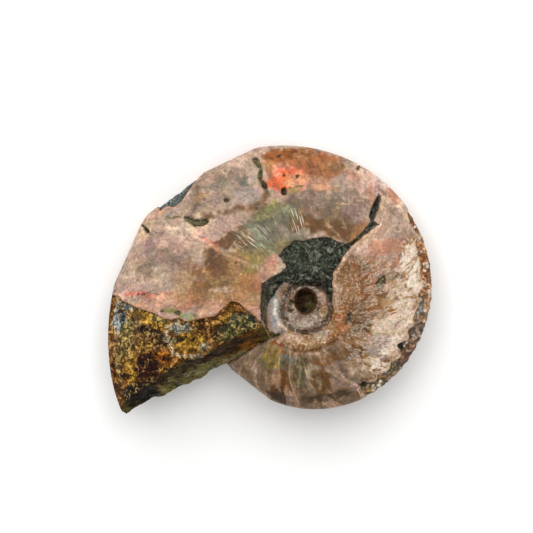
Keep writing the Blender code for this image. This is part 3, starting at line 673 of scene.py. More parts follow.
        # The pitch patch at -33.0, -18.2 is dark stone deepened with painted shade at the lower tip.
        (-33.6, -11.2, 1.0, 1.6, 0, "ochre", 0.7), (-33.0, -18.2, 3.0, 2.2, 10, "pitch", 1.0),
        (-30.6, -16.2, 2.6, 1.6, 20, "bark", 0.95), (-36.6, -12.0, 0.9, 3.0, 8, "olive", 0.6),
        (-24.4, -4.9, 3.0, 1.1, 0, "slate", 0.8), (-22.4, -7.6, 3.8, 2.2, 0, "ochre", 0.8),
        (-19.6, -8.6, 1.3, 1.0, 30, "ash", 0.75), (-25.6, -7.4, 1.0, 0.9, 0, "fern", 0.8),
        (-13.6, -5.2, 4.6, 1.5, 32, "moss", 0.7), (-15.4, -2.6, 2.2, 0.8, 38, "ochre", 0.7),
        (-13.2, -7.4, 4.0, 0.9, 28, "bark", 0.95), (-8.6, -6.2, 1.3, 0.8, 30, "maroon", 1.0),
        (-10.8, -3.6, 2.0, 0.7, -42, "jade", 0.8), (-19.0, -10.8, 4.6, 1.0, 18, "bark", 0.95),
        (-26.0, -14.2, 4.0, 1.4, 20, "bark", 0.95), (-28.2, -7.4, 1.2, 2.0, 0, "bark", 0.8),
        (-17.0, -6.4, 1.6, 1.4, 20, "bark", 0.5),
    ],
    "worn": [
        (20.0, -10.0, 4.0, 8.0, -30, "dusk", 0.7), (23.4, 5.0, 2.0, 7.0, 0, "peach", 0.5),
        (21.1, 16.9, 0.8, 1.7, 20, "amber", 0.9), (21.6, 14.3, 1.0, 1.4, 0, "amber", 1.0),
        (22.9, 9.9, 1.0, 2.6, 0, "peach", 0.5), (23.9, 6.6, 0.9, 2.4, 0, "amber", 0.95),
        (23.4, 1.6, 0.9, 1.4, 0, "tan", 0.9), (22.9, -1.4, 1.2, 1.4, 0, "steel", 0.8),
        (21.8, -5.6, 1.2, 2.0, 0, "dusk", 0.9), (19.4, -8.7, 1.0, 1.2, 0, "umber", 0.9),
        (20.4, -10.4, 1.6, 1.2, 40, "rust", 0.6), (17.6, -10.8, 1.2, 1.2, 20, "cream", 0.9),
        (17.8, -13.2, 1.6, 1.2, 30, "olive", 0.7), (14.6, -16.6, 2.0, 1.2, 30, "olive", 0.7),
        (11.8, -17.0, 1.0, 0.9, 0, "lilac", 0.7), (24.4, -2.6, 0.5, 5.0, 0, "cream", 0.5),
    ],
    "collar": [
        (-5.3, -3.0, 1.1, 4.0, 22, "steel", 0.9), (7.4, -3.0, 1.5, 2.6, -20, "amber", 0.75),
        (5.4, -6.6, 2.8, 0.9, 36, "amber", 0.6), (1.0, -8.6, 3.4, 0.6, -3, "ochre", 0.5),
        (8.4, 3.0, 1.4, 3.0, 0, "tan", 0.6), (9.0, -4.4, 1.2, 1.8, 0, "umber", 0.6),
        (7.6, 6.4, 1.6, 1.6, 0, "umber", 0.4), (-2.2, -7.2, 2.6, 1.0, -10, "sand", 0.8),
        (3.4, -6.4, 2.4, 0.8, 14, "ash", 0.6), (8.2, -3.2, 0.6, 1.3, -12, "bark", 0.95),
        (8.0, -5.2, 0.9, 0.6, 30, "peach", 0.7), (6.4, 1.4, 1.0, 2.4, 0, "sand", 0.7),
        (9.4, -0.6, 1.0, 1.6, 0, "umber", 0.6),
    ],
    "ring": [
        (-3.4, -3.2, 1.0, 2.6, 24, "ash", 0.8), (1.0, 2.9, 1.4, 0.8, -10, "ash", 0.8),
        # The pale blue spot at 0.9, 1.7 is a painted highlight at the top of the hole.
        (0.9, 1.7, 0.8, 0.45, -10, "ice", 0.9), (0.8, -4.0, 2.6, 0.9, 6, "ash", 0.7),
        (4.0, -1.4, 0.9, 1.8, 0, "tan", 0.8), (-2.8, 1.2, 1.0, 0.8, 30, "clay", 0.8),
        (3.2, 1.4, 1.2, 0.8, -40, "sand", 0.6), (-2.6, -1.0, 0.8, 1.0, 0, "umber", 0.5),
    ],
    "matrix": [
        (-0.4, 9.0, 4.0, 2.4, 20, "fern", 0.3), (-7.0, 2.9, 1.3, 1.6, 0, "ash", 0.55),
        (-7.6, -1.0, 0.9, 4.5, 0, "sage", 0.8), (12.6, 14.2, 1.6, 0.7, 50, "fern", 0.7),
    ],
    "chip": [
        (-26.4, 20.0, 2.0, 0.4, 50, "ice", 0.6), (-23.8, 22.8, 1.8, 0.5, 42, "jade", 0.8),
    ],
    "end": [
        (-21.0, -14.0, 12.0, 1.7, 23, "olive", 0.8), (-28.6, -15.6, 4.0, 0.9, 25, "bark", 0.9),
        (-13.4, -8.4, 5.4, 1.5, 27, "umber", 0.8), (-15.0, -9.0, 5.0, 0.8, 27, "bark", 0.9),
        # The pitch patch at -31.6, -18.4 is dark stone deepened with painted shade at the lower tip.
        (-31.6, -18.4, 3.2, 1.8, 20, "pitch", 0.95), (-20.6, -11.8, 4.4, 0.7, 23, "bark", 0.8),
        (-11.2, -9.0, 1.6, 1.0, 20, "rust", 0.5), (-17.6, -12.6, 6.0, 0.4, 23, "ash", 0.4),
    ],
    "hole": [
        (1.2, -0.8, 1.0, 1.2, 0, "moss", 0.7), (0.2, -1.6, 1.0, 0.6, 0, "pitch", 0.8),
    ],
}

# Lines drawn on the skin: points, half width, pigment, strength.
strokes = [
    ([(-19.3, 16.4), (-16.0, 17.0), (-12.7, 17.7), (-9.8, 18.0), (-8.4, 18.9), (-8.0, 20.4)],
     0.9, "umber", 0.8),
    (seamLine, 0.75, "umber", 0.75),
    ([(-6.0, -8.2), (-4.6, -8.4), (-4.2, -9.9)], 0.45, "rust", 0.9),
    ([(9.5, 7.2), (10.6, 4.6), (10.9, 1.0)], 0.7, "amber", 0.7),
    ([(-9.6, 27.6), (-8.6, 26.0), (-8.8, 23.8), (-7.8, 22.4), (-7.4, 20.9)], 0.35, "moss", 0.9),
    ([(4.0, 15.0), (8.0, 11.4)], 0.15, "ash", 0.6),
    ([(-36.4, 8.8), (-36.3, 6.4), (-36.9, 3.8)], 0.5, "umber", 0.7),
    ([(14.7, 14.9), (11.7, 12.7), (9.1, 10.4), (7.2, 7.4), (5.7, 5.1), (5.6, 3.1)], 0.3, "cream", 0.8),
    ([(-24.0, 14.6), (-20.0, 11.8), (-15.2, 9.1), (-8.7, 6.2)], 0.22, "cream", 0.6),
    ([(-14.0, 14.4), (-10.0, 11.4)], 0.22, "cream", 0.6),
    ([(-18.6, 10.4), (-10.6, 7.0)], 0.2, "peach", 0.5),
    ([(-26.5, -4.4), (-27.3, -7.2), (-25.9, -8.9), (-25.3, -10.3), (-22.5, -10.7), (-20.0, -10.3)],
     0.3, "ash", 0.8),
    ([(-20.0, -10.3), (-17.9, -8.4), (-18.5, -6.3), (-19.1, -4.0)], 0.35, "tan", 0.9),
    ([(-3.2, 22.1), (-0.5, 22.4)], 0.12, "moss", 0.8),
    ([(-26.7, 16.4), (-24.0, 16.0)], 0.15, "moss", 0.7),
    ([(-1.2, -10.9), (-1.0, -13.0), (-1.5, -16.4)], 0.25, "ash", 0.6),
    ([(2.5, -14.8), (3.0, -16.8)], 0.4, "ash", 0.6),
    ([(3.4, -10.6), (4.8, -14.2)], 0.5, "lilac", 0.4),
    ([(-8.8, -10.2), (-10.6, -13.6)], 0.25, "lilac", 0.7),
    ([(8.2, -11.4), (9.2, -13.6)], 0.5, "sand", 0.5),
    ([(-6.0, 0.0), (-5.9, -2.0), (-4.9, -4.4), (-3.4, -5.6)], 0.3, "pearl", 0.7),
]


def grooveLine():
    x, y = umbilicus["grooveCentre"]
    bearings = np.radians(np.arange(0, 361, umbilicus["outlineStep"]))
    radius = umbilicus["grooveRadius"]
    return [(float(x + radius * math.cos(b)), float(y + radius * math.sin(b))) for b in bearings]


def dye(colours, pigment, strength):
    return colours + (channels(palette[pigment]) - colours) * strength[:, None]


# How the stains and the lines wander, fade and break up, in millimetres and shares.
brush = {
    "wanderSizes": (2.4, 0.9),
    "wanderSeeds": (31, 32),  # those of the smaller size are 2 higher
    "smallWander": 0.9,
    "stainWander": 0.5,
    "fineWander": 0.18,
    "pitWander": 0.1,
    "breaks": (0.6, 0.8, 1.3, 35),  # of the wide lines: mean, swing, size, seed
    "groundStrength": 0.9,
    "groundEdge": 0.15,
    "cloudyEdge": 1.2,  # where calcite and spar run into the shell
    "stainEdge": (1.2, 0.7),
    "lineEdge": (1.6, 0.3),
    "fineLine": 0.5,  # half width under which a line isn't broken up
    "groove": (0.4, "bark", 0.75),
    # painted rim light: where the peach starts and ends as the skin turns edge-on, and its strength
    "rimFacing": (0.5, 0.2),
    "rimLightStrength": 0.25,
    "pitStrength": (0.9, 0.75),  # of the stain in a pit and of the painted shade in its core
    "pitStain": 4,  # rise of the stain with each millimetre of depth
    "pitShadeCore": (0.05, 0.2),
    "pitFloor": ((0.3, 0.45), (0.6, 0.5)),  # depths between which a floor is left out of the painted shade
    "reverse": math.radians(200),
}


def paint(points, ground):
    # The colour of every point of the skin. Finer markings come with the finish.
    large, small = brush["wanderSizes"]
    wander = np.stack([
        lumps(points, large, seed) + brush["smallWander"] * lumps(points, small, seed + 2)
        for seed in brush["wanderSeeds"]], axis=1)
    mean, swing, size, seed = brush["breaks"]
    broken = np.clip(mean + swing * lumps(points, size, seed), 0, 1)
    shown = ground["shown"]
    plan = ground["plan"] + brush["stainWander"] * wander
    # The hidden side has the stains in the opposite order along the coil.
    opposite = brush["reverse"] - ground["angle"]
    reach = ground["share"] * venterRadius(opposite)
    turned = np.stack([reach * np.cos(opposite), reach * np.sin(opposite)], axis=1)
    turned = turned + brush["stainWander"] * wander
    colours = np.tile(channels(palette[groundColours["shell"]]), (len(points), 1))
    for name, base in groundColours.items():
        places = np.where(shown[:, None], plan, turned) if name == "shell" else plan
        here = dye(colours, base, np.full(len(points), brush["groundStrength"]))
        for *patch, pigment, strength in tints[name]:
            here = dye(here, pigment, strength * oval(places, *patch, brush["stainEdge"]))
        edge = brush["cloudyEdge"] if name in ("calcite", "chambers") else brush["groundEdge"]
        cover = 1 if name == "shell" else soften(ground[name], edge)
        colours = colours + (here - colours) * np.reshape(cover, (-1, 1))
    # Painted rim light: peach along the margin, where the unbroken skin turns edge-on.
    whole = (ground["chip"] < 0) & (ground["infill"] < 0) & (ground["worn"] < 0)
    rim = ramp(*brush["rimFacing"], ground["facing"]) * whole
    colours = dye(colours, "peach", brush["rimLightStrength"] * rim)
    nearly = ground["plan"] + brush["fineWander"] * wander
    for line, width, pigment, strength in strokes + [(grooveLine(), *brush["groove"])]:
        fine = width < brush["fineLine"]
        distance = lineDistance(nearly if fine else plan, line)
        drawn = ramp(*brush["lineEdge"], distance / width)
        colours = dye(colours, pigment, strength * shown * drawn * (1 if fine else broken))
    pitted = shown * pitDepth(ground["plan"] + brush["pitWander"] * wander)
    stained, dark = brush["pitStrength"]
    colours = dye(colours, "moss", stained * np.clip(pitted * brush["pitStain"], 0, 1))
    starts, ends = brush["pitFloor"]
    floor = ramp(*starts, pitted) * ramp(*ends, pitted)
    # Painted shade: the deeper middle of each pit darkened towards pitch, except where it has a floor.
    colours = dye(colours, "pitch", dark * ramp(*brush["pitShadeCore"], pitted) * (1 - floor))
    return toLinear(np.clip(colours, 0, 1))


def keep(mesh, name, values):
    # Keeps a value, or a colour, for every point of the skin.
    colour = values.ndim == 2
    layer = mesh.attributes.new(name, "FLOAT_COLOR" if colour else "FLOAT", "POINT")
    if colour:
        values = np.concatenate([values, np.ones((len(values), 1))], axis=1)
    layer.data.foreach_set("color" if colour else "value", values.astype(np.float32).ravel())


def layDown(item):
    # Leans the coil on to its resting flank, cuts the worn flat and sets it down in the model's box.
    axis = Vector((-math.sin(lying["towards"]), math.cos(lying["towards"]), 0))
    lean = Matrix.Rotation(lying["lean"], 4, axis)
    bm = bmesh.new()
    bm.from_mesh(item.data)
    bm.transform(lean)
    lowest = min(vert.co.z for vert in bm.verts)
    cutAway(bm, (0, 0, lowest + lying["wear"]), (0, 0, -1))
    bmesh.ops.triangulate(bm, faces=[face for face in bm.faces if len(face.verts) > 4])
    bmesh.ops.recalc_face_normals(bm, faces=bm.faces)
    bm.to_mesh(item.data)
    bm.free()
    corners = np.array([vertex.co for vertex in item.data.vertices])
    middle = (corners.min(axis=0) + corners.max(axis=0)) / 2
    shift = Matrix.Translation((-middle[0], -middle[1], -corners[:, 2].min()))
    place = Matrix.Scale(millimetre, 4) @ shift @ lean
    item.data.transform(Matrix.Scale(millimetre, 4) @ shift)
    return place


def addNode(tree, kind, *inputs, out=0, **settings):
    # Adds a shader node. Its inputs, in order or by name, are values, links or pigments.
    node = tree.nodes.new("ShaderNode" + kind)
    for name in [name for name in settings if hasattr(node, name)]:
        setattr(node, name, settings.pop(name))
    inputs = list(zip([socket for socket in node.inputs if socket.enabled], inputs))
    for socket, value in inputs + [(node.inputs[name], value) for name, value in settings.items()]:
        if isinstance(value, bpy.types.NodeSocket):
            tree.links.new(value, socket)
        elif isinstance(value, str):
            socket.default_value = (*toLinear(channels(palette[value])), 1)
        else:
            socket.default_value = value
    outputs = [socket for socket in node.outputs if socket.enabled and out in (0, socket.name)]
    return outputs[0] if outputs else None


def stain(tree, colour, pigment, pattern, start, full, most=1.0):
    # Lays a pigment over a colour, from where a pattern passes start to where it reaches full.
    share = addNode(tree, "MapRange", pattern, start, full, 0.0, most)
    return addNode(tree, "Mix", share, colour, pigment, data_type="RGBA")


noiseSpan = (0.3, 0.7)  # most of a noise pattern lies between these


def mottle(tree, colour, pattern, darkest, lightest):
    # Darkens and lightens a colour by a pattern.
    factor = addNode(tree, "MapRange", pattern, *noiseSpan, darkest, lightest)
    return addNode(tree, "VectorMath", colour, Scale=factor, operation="SCALE")


def buckle(tree, here, size, amount):
    # The place, shifted this way and that by about amount millimetres.
    wander = addNode(tree, "TexNoise", here, Scale=1 / size, Detail=3, out="Color")
    return addNode(tree, "VectorMath", wander, (amount,) * 3, here, operation="MULTIPLY_ADD")


def contourLines(tree, pattern, count):
    # Lines along equal values of a pattern, as layers show where a curved surface is ground level.
    wave = addNode(tree, "Math", pattern, count, operation="MULTIPLY")
    return addNode(tree, "Math", wave, operation="SINE")


def raised(tree, pattern, rise, other, otherRise):
    # Relief in millimetres, from two patterns.
    base = addNode(tree, "Math", other, otherRise, operation="MULTIPLY")
    return addNode(tree, "Math", pattern, rise, base, operation="MULTIPLY_ADD")


def shimmer(tree, colour, spread, amount):
    # Shifts a colour this way and that by the colours of a pattern.
    span, least = (2 * amount,) * 3, (1 - amount,) * 3
    factor = addNode(tree, "VectorMath", spread, span, least, operation="MULTIPLY_ADD")
    return addNode(tree, "VectorMath", colour, factor, operation="MULTIPLY")


def nacre(tree, at):
    # Polished nacre: stacked aragonite plates, ground and buffed to a satin. It clouds over a few
    # millimetres and its hue shimmers, and growth lines 0.6 mm apart cross it.
    here = at["here"]
    clouds = addNode(tree, "TexNoise", here, Scale=1 / 3.2, Detail=9, Roughness=0.66, Distortion=0.5)
    combed = addNode(tree, "Mapping", at["flow"], Scale=(1 / 0.6, 1 / 9, 1))
    growth = addNode(tree, "TexNoise", combed, Scale=1, Detail=5, Distortion=0.3)
    grain = addNode(tree, "TexNoise", here, Scale=1 / 0.55, Detail=4, Roughness=0.75)
    hues = addNode(tree, "TexNoise", here, Scale=1 / 0.6, Detail=3, Roughness=0.7, out="Color")
    broadHues = addNode(tree, "TexNoise", here, Scale=1 / 4, Detail=5, out="Color")
    patches = addNode(tree, "TexNoise", here, Scale=1 / 1.4, Detail=3, Roughness=0.55, Distortion=1.2)
    streaked = addNode(tree, "Attribute", attribute_name="streaked", out="Fac")
    thin = addNode(tree, "Mapping", at["flow"], Scale=(1 / 0.35, 1 / 4, 1))
    thin = addNode(tree, "TexNoise", thin, Scale=1, Detail=1)
    streaks = addNode(tree, "MapRange", thin, 0.59, 0.66, 0.0, 0.8)
    streaks = addNode(tree, "Math", streaks, streaked, operation="MULTIPLY")
    colour = stain(tree, at["tint"], "umber", clouds, 0.44, 0.34, 0.3)
    colour = stain(tree, colour, "cream", patches, 0.6, 0.68, 0.2)
    colour = mottle(tree, colour, clouds, 0.6, 1.42)
    colour = mottle(tree, colour, patches, 0.75, 1.25)
    colour = mottle(tree, colour, growth, 0.8, 1.2)
    colour = mottle(tree, colour, grain, 0.58, 1.42)
    colour = shimmer(tree, colour, hues, 0.22)
    colour = shimmer(tree, colour, broadHues, 0.2)
    colour = stain(tree, colour, "pearl", streaks, 0.0, 1.0)
    rough = addNode(tree, "MapRange", clouds, *noiseSpan, 0.26, 0.42)
    height = raised(tree, growth, 0.04, grain, 0.1)
    return {"colour": colour, "rough": rough, "height": height, "gloss": 0.25}


def chambers(tree, at):
    # Clear brown spar in the chambers under thin polished shell: cloudy bands 2 mm wide that cross
    # the coil, with finer pale streaks.
    here = at["here"]
    crosswise = addNode(tree, "Mapping", at["flow"], Scale=(1 / 1.8, 1 / 7, 1))
    bent = buckle(tree, crosswise, 1.0, 0.8)
    bands = addNode(tree, "TexNoise", bent, Scale=1, Detail=6, Roughness=0.65, Distortion=0.5)
    clouds = addNode(tree, "TexNoise", here, Scale=1 / 2.2, Detail=8, Roughness=0.7)
    grain = addNode(tree, "TexNoise", here, Scale=1 / 0.5, Detail=4, Roughness=0.75)
    hues = addNode(tree, "TexNoise", here, Scale=1 / 1.0, Detail=4, Roughness=0.7, out="Color")
    colour = stain(tree, at["tint"], "umber", clouds, 0.48, 0.36, 0.5)
    colour = stain(tree, colour, "sand", bands, 0.54, 0.68, 0.4)
    colour = mottle(tree, colour, bands, 0.6, 1.4)
    colour = mottle(tree, colour, clouds, 0.6, 1.5)
    colour = mottle(tree, colour, grain, 0.6, 1.4)
    colour = shimmer(tree, colour, hues, 0.3)
    height = raised(tree, bands, 0.04, clouds, 0.06)
    return {"colour": colour, "rough": 0.28, "height": height, "gloss": 0.28}


def calcite(tree, at):
    # Calcite that fills the chambers, ground through: cloudy brown cells 1 to 2 mm across, drawn out
    # across the coil, with ragged cream edges that run together towards the margin, and dark hollows.
    here = at["here"]
    drawn = addNode(tree, "Mapping", at["flow"], Scale=(1, 0.55, 1))
    bent = buckle(tree, drawn, 1.5, 2.2)
    cells = addNode(tree, "TexNoise", bent, Scale=1 / 1.6, Detail=5, Roughness=0.6)
    edges = contourLines(tree, cells, 18)
    outward = addNode(tree, "Attribute", attribute_name="across", out="Fac")
    outward = addNode(tree, "MapRange", outward, 15.5, 22.5, -1.8, 0.5)
    areas = addNode(tree, "TexNoise", here, Scale=1 / 3.4, Detail=4, Roughness=0.6, Distortion=0.8)
    whiter = addNode(tree, "MapRange", areas, 0.35, 0.65, -1.3, 0.7)
    whiter = addNode(tree, "Math", whiter, outward, operation="ADD")
    whiter = addNode(tree, "Math", whiter, edges, operation="ADD")
    patches = addNode(tree, "TexNoise", here, Scale=1 / 1.8, Detail=6, Roughness=0.65, Distortion=0.8)
    fine = addNode(tree, "TexNoise", here, Scale=1 / 0.55, Detail=5, Roughness=0.75)
    hues = addNode(tree, "TexNoise", here, Scale=1 / 1.1, Detail=4, Roughness=0.7, out="Color")
    margin = addNode(tree, "MapRange", outward, -0.9, 0.4, 0.0, 0.9)
    colour = stain(tree, at["tint"], "umber", patches, 0.46, 0.36, 0.6)
    colour = stain(tree, colour, "cream", whiter, -0.6, 1.1, 0.75)
    colour = stain(tree, colour, "pearl", whiter, 0.0, 1.2, margin)
    colour = stain(tree, colour, "pearl", edgeLine(tree, edges, 0.2, 0.7, 0.3), 0, 1, 0.45)
    colour = stain(tree, colour, "amber", patches, 0.6, 0.68, 0.6)
    colour = stain(tree, colour, "bark", patches, 0.36, 0.3, 0.85)
    colour = stain(tree, colour, "bark", fine, 0.38, 0.3, 0.5)
    colour = mottle(tree, colour, fine, 0.6, 1.4)
    colour = shimmer(tree, colour, hues, 0.25)
    height = raised(tree, edges, 0.06, fine, 0.2)
    return {"colour": colour, "rough": 0.36, "height": height, "gloss": 0.3}


def ironstone(tree, at):
    # Limonite-stained infill, where the shell has come off. The chamber walls were frilled: their
    # edges show as curling lines 0.3 mm wide, paler than the stone, with dark stone between them.
    here = at["here"]
    bent = buckle(tree, here, 1.6, 2.2)
    curls = addNode(tree, "TexNoise", bent, Scale=1 / 2.0, Detail=2, Roughness=0.4, Distortion=0.3)
    curl = contourLines(tree, curls, 32)
    rust = addNode(tree, "TexNoise", here, Scale=1 / 2.0, Detail=5, Roughness=0.65)
    fine = addNode(tree, "TexNoise", here, Scale=1 / 0.5, Detail=5, Roughness=0.75)
    lit = addNode(tree, "MapRange", rust, 0.45, 0.6, 0.02, 0.35)
    colour = stain(tree, at["tint"], "pitch", rust, 0.46, 0.36, 0.8)
    colour = stain(tree, colour, "straw", curl, 0.1, 0.9, lit)
    colour = mottle(tree, colour, rust, 0.4, 1.7)
    colour = mottle(tree, colour, addNode(tree, "MapRange", curl, -1.0, 1.0, *noiseSpan), 0.35, 1.7)
    colour = mottle(tree, colour, fine, 0.5, 1.6)
    height = raised(tree, curl, 0.1, fine, 0.25)
    return {"colour": colour, "rough": 0.45, "height": height, "gloss": 0.1}


def mudstone(tree, at):
    # Dark glauconite mudstone matrix, left rough: packed crumbs 1 mm across, grey-green, with painted
    # shade between them and painted light on the high ones.
    here = at["here"]
    bent = buckle(tree, here, 0.8, 0.8)
    crumbs = addNode(tree, "TexNoise", bent, Scale=1 / 1.1, Detail=3, Roughness=0.6, Distortion=1)
    fine = addNode(tree, "TexNoise", here, Scale=1 / 0.5, Detail=5, Roughness=0.8)
    # Painted shade in the low places between the crumbs.
    colour = stain(tree, at["tint"], "pitch", crumbs, 0.48, 0.38, 0.85)
    colour = stain(tree, colour, "fern", crumbs, 0.48, 0.54, 0.9)
    # Painted light on the tops of the crumbs.
    colour = stain(tree, colour, "ash", crumbs, 0.56, 0.66, 0.6)
    colour = stain(tree, colour, "pearl", fine, 0.6, 0.7, 0.5)
    colour = mottle(tree, colour, fine, 0.35, 1.9)
    height = raised(tree, crumbs, 1.0, fine, 0.4)
    return {"colour": colour, "rough": 0.6, "height": height, "gloss": 0.18}


def druse(tree, at):
    # Small quartz and calcite crystals lining the worn chambers: glassy faces 0.7 mm across, with
    # painted light that makes each face lighter or darker, painted glints on a few and painted shade
    # between them.
    here = at["here"]
    split = buckle(tree, here, 0.8, 0.5)
    facets = addNode(tree, "TexVoronoi", split, Scale=1 / 0.7, out="Color")
    shadedGaps = addNode(tree, "TexVoronoi", split, Scale=1 / 0.7, out="Distance")
    first = addNode(tree, "SeparateColor", facets, out="Red")
    second = addNode(tree, "SeparateColor", facets, out="Green")
    fine = addNode(tree, "TexNoise", here, Scale=1 / 0.6, Detail=5, Roughness=0.75)
    # Painted light: each face a little lighter or darker.
    colour = mottle(tree, at["tint"], first, 0.6, 1.8)
    # Painted glints on a few of the faces.
    colour = stain(tree, colour, "pearl", second, 0.75, 0.9, 0.8)
    # Painted shade in the gaps between the faces.
    colour = stain(tree, colour, "bark", shadedGaps, 0.5, 0.7, 0.7)
    colour = stain(tree, colour, "maroon", fine, 0.42, 0.32, 0.8)
    colour = mottle(tree, colour, fine, 0.4, 1.8)
    rough = addNode(tree, "MapRange", second, 0.0, 1.0, 0.1, 0.5)
    height = raised(tree, first, 0.15, fine, 0.4)
    return {"colour": colour, "rough": rough, "height": height, "gloss": 0.5}


def granular(tree, at):
    # Recrystallised shell of the inner whorl: sugary grains 0.5 mm across, orange where stained.
    here = at["here"]
    grains = addNode(tree, "TexNoise", here, Scale=1 / 1.2, Detail=7, Roughness=0.78, Distortion=1.2)
    fine = addNode(tree, "TexNoise", here, Scale=1 / 0.45, Detail=4, Roughness=0.75)
    hues = addNode(tree, "TexNoise", here, Scale=1 / 0.9, Detail=4, Roughness=0.7, out="Color")
    colour = stain(tree, at["tint"], "umber", grains, 0.5, 0.38, 0.75)
    colour = stain(tree, colour, "pearl", grains, 0.52, 0.63, 0.5)
    colour = stain(tree, colour, "pearl", fine, 0.6, 0.7, 0.6)
    colour = mottle(tree, colour, fine, 0.6, 1.45)
    colour = shimmer(tree, colour, hues, 0.3)
    height = raised(tree, grains, 0.2, fine, 0.15)
    return {"colour": colour, "rough": 0.42, "height": height, "gloss": 0.3}


def brokenStone(tree, at):
    # Fractured mudstone at the broken end: dull, in thin layers along the break.
    here = at["here"]
    layers = addNode(tree, "TexNoise", at["strata"], Scale=1, Detail=6, Roughness=0.7, Distortion=0.6)
    fine = addNode(tree, "TexNoise", here, Scale=1 / 0.7, Detail=7, Roughness=0.8)
    colour = stain(tree, at["tint"], "pitch", layers, 0.48, 0.38, 0.85)
    colour = mottle(tree, colour, layers, 0.4, 2.0)
    colour = stain(tree, colour, "ash", fine, 0.58, 0.7, 0.5)
    colour = stain(tree, colour, "pitch", fine, 0.45, 0.36, 0.7)
    colour = mottle(tree, colour, fine, 0.5, 1.7)
    height = raised(tree, layers, 0.35, fine, 0.4)
    return {"colour": colour, "rough": 0.7, "height": height, "gloss": 0.1}


def overlay(tree, under, over, share):
    result = {"colour": addNode(tree, "Mix", share, under["colour"], over["colour"], data_type="RGBA")}
    for name in ("rough", "height", "gloss"):
        result[name] = addNode(tree, "Mix", share, under[name], over[name], data_type="FLOAT")
    return result


def edgeLine(tree, depth, outer, inner, softness=0.12):
    # A line along an edge, between two depths inside it.
    rise = addNode(tree, "MapRange", depth, outer - softness, outer, 0.0, 1.0)
    fall = addNode(tree, "MapRange", depth, inner, inner + softness, 1.0, 0.0)
    return addNode(tree, "Math", rise, fall, operation="MULTIPLY")


# The finishes over the nacre, from the lowest to the topmost: the kind of ground that each covers,
# how far its edge wanders and how soft that is, in millimetres.
finishes = [
    (chambers, "chambers", 0.6, 0.6),
    (calcite, "calcite", 2.2, 0.8),
    (granular, "collar", 0.4, 0.25),
    (brokenStone, "hole", 0.2, 0.1),
    (mudstone, "matrix", 0.35, 0.06),
    (mudstone, "chip", 0.2, 0.06),
    (druse, "worn", 0.7, 0.08),
    (ironstone, "infill", 0.2, 0.06),
    (brokenStone, "end", 1.2, 0.5),
]


def makeFossilMaterial(place):
    material = bpy.data.materials.new("mineralised ammonite")
    material.use_nodes = True
    tree = material.node_tree
    tree.nodes.clear()
    # Object coordinates turned back to the coil's frame, in millimetres.
    back = place.inverted()
    coords = addNode(tree, "TexCoord", out="Object")
    here = addNode(tree, "Mapping", coords, Location=back.translation, Rotation=back.to_euler(),
                   Scale=back.to_scale())
    strata = addNode(tree, "Mapping", here, Rotation=(0, 0, -relief["strataTurn"]),
                     Scale=[1 / size for size in relief["strataSize"]])
    along = addNode(tree, "Attribute", attribute_name="along", out="Fac")
    across = addNode(tree, "Attribute", attribute_name="across", out="Fac")
    flow = addNode(tree, "CombineXYZ", along, across)
    tint = addNode(tree, "Attribute", attribute_name="tint", out="Color")
    at = {"here": here, "strata": strata, "flow": flow, "tint": tint}
    wobble = addNode(tree, "TexNoise", here, Scale=1 / 0.8, Detail=5, Roughness=0.75)

    def depthIn(name, amount):
        # How far inside a kind of ground, with an edge that wanders by amount millimetres.
        inside = addNode(tree, "Attribute", attribute_name=name, out="Fac")
        wander = addNode(tree, "MapRange", wobble, *noiseSpan, -amount, amount)
        return addNode(tree, "Math", inside, wander, operation="ADD")

    finish = nacre(tree, at)
    for look, name, amount, softness in finishes:
        cover = addNode(tree, "MapRange", depthIn(name, amount), -softness, softness, 0.0, 1.0)
        finish = overlay(tree, finish, look(tree, at), cover)
    # Thin pale lines where the shell is broken through, and stone in the shadow under them.
    colour = finish["colour"]
    broken = addNode(tree, "Math", depthIn("infill", 0.25), depthIn("chip", 0.25), operation="MAXIMUM")
    fading = addNode(tree, "MapRange", wobble, 0.42, 0.55, 0.2, 0.75)
    colour = stain(tree, colour, "peach", edgeLine(tree, broken, -0.2, -0.05), 0, 1, fading)
    colour = stain(tree, colour, "pitch", edgeLine(tree, broken, 0.05, 0.15, 0.15), 0, 1, fading)
    wornEdge = edgeLine(tree, depthIn("worn", 0.7), -0.45, -0.05)
    colour = stain(tree, colour, "cream", wornEdge, 0, 1, 0.75)

    bump = addNode(tree, "Bump", Height=finish["height"], Distance=millimetre, Strength=1.0)
    shader = addNode(tree, "BsdfPrincipled", colour, Roughness=finish["rough"], Normal=bump, IOR=1.53,
                     **{"Specular IOR Level": finish["gloss"]})
    addNode(tree, "OutputMaterial", shader)
    return material


def makeAmmonite():
    early = makeWhorl(*coil["early"])
    late = makeWhorl(*coil["late"])
    for point, bearing, slope in brokenEnd["faces"]:
        cutAway(late, point, faceNormal(bearing, slope))
    item = fuse([early, late, makeRemnant()])
    print("coil fused,", len(item.data.vertices), "points")
    points, normals = readMesh(item.data)
    ground = survey(points, normals)
    weather(item, points, normals, ground)
    print("relief done")
    colours = paint(points, ground)
    keep(item.data, "tint", colours)
    for name in ("infill", "end", "chip", "worn", "matrix", "collar", "calcite", "chambers", "hole",
                 "streaked"):
        keep(item.data, name, ground[name])
    # Along the coil, following the growth lines, and across it, in millimetres at mid flank.
    along = ground["angle"] - coil["growthLean"] * ground["share"] ** 2
    keep(item.data, "along", along * coil["midFlank"])
    keep(item.data, "across", ground["share"] * coil["flankWidth"])
    print("painted")
    place = layDown(item)
    item.data.shade_smooth()
    item.data.materials.clear()
    item.data.materials.append(makeFossilMaterial(place))
    return item, place


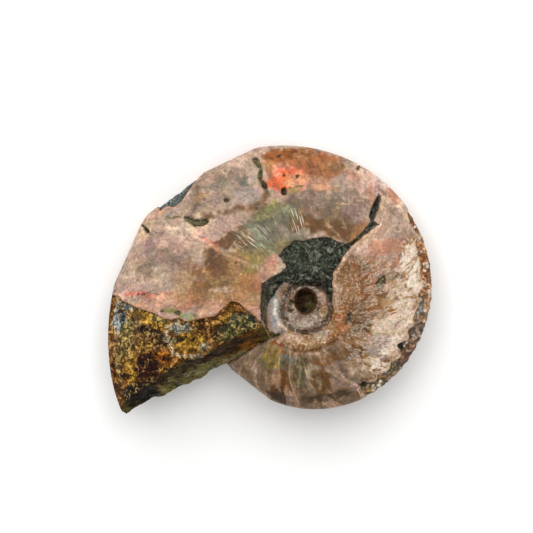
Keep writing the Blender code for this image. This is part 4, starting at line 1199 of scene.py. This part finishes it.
# Studio: a pale floor, a large soft light from the top of the picture and an even fill.
studio = {
    "cameraTarget": (-7.5, 6.73, 0),  # millimetres in the coil's frame
    "cameraDistance": 700,
    "pictureWidth": 103.9,  # millimetres across the picture at the coil's middle plane
    "sensor": 36,
    "clipStart": 0.01,
    "floorSize": 8.0,
    "floorColour": "#FAFAF9",
    "floorRoughness": 0.9,
    "keyPlace": (-0.2, 1.1, 1.45),
    "keySize": 1.9,
    "keyPower": 31.5,
    "fillStrength": 0.64,
}


def makeCamera(place):
    camera = bpy.data.objects.new("camera", bpy.data.cameras.new("camera"))
    bpy.context.scene.collection.objects.link(camera)
    camera.data.sensor_width = studio["sensor"]
    camera.data.lens = studio["sensor"] * studio["cameraDistance"] / studio["pictureWidth"]
    x, y, z = studio["cameraTarget"]
    camera.location = place @ Vector((x, y, z + studio["cameraDistance"]))
    camera.rotation_euler = place.to_euler()
    camera.data.clip_start = studio["clipStart"]
    bpy.context.scene.camera = camera


def makeStudio():
    bm = bmesh.new()
    bmesh.ops.create_grid(bm, x_segments=1, y_segments=1, size=studio["floorSize"] / 2)
    floor = bpy.data.objects.new("floor", bpy.data.meshes.new("floor"))
    bm.to_mesh(floor.data)
    bm.free()
    bpy.context.scene.collection.objects.link(floor)
    paper = bpy.data.materials.new("matt white paper")
    paper.use_nodes = True
    shader = paper.node_tree.nodes["Principled BSDF"]
    shader.inputs["Base Color"].default_value = (*toLinear(channels(studio["floorColour"])), 1)
    shader.inputs["Roughness"].default_value = studio["floorRoughness"]
    floor.data.materials.append(paper)

    light = bpy.data.lights.new("key", "AREA")
    light.energy = studio["keyPower"]
    light.size = studio["keySize"]
    key = bpy.data.objects.new("key", light)
    key.location = studio["keyPlace"]
    key.rotation_euler = (-key.location).to_track_quat("-Z", "Y").to_euler()
    bpy.context.scene.collection.objects.link(key)

    world = bpy.data.worlds.new("soft fill")
    world.use_nodes = True
    background = world.node_tree.nodes["Background"]
    background.inputs["Color"].default_value = (1, 1, 1, 1)
    background.inputs["Strength"].default_value = studio["fillStrength"]
    bpy.context.scene.world = world
    bpy.context.scene.view_settings.view_transform = "Standard"


fossil, place = makeAmmonite()
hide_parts("ammonite")
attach(fossil, "root")
print("ammonite finished,", sum(len(face.vertices) - 2 for face in fossil.data.polygons), "triangles")

makeCamera(place)
makeStudio()
print("studio ready")
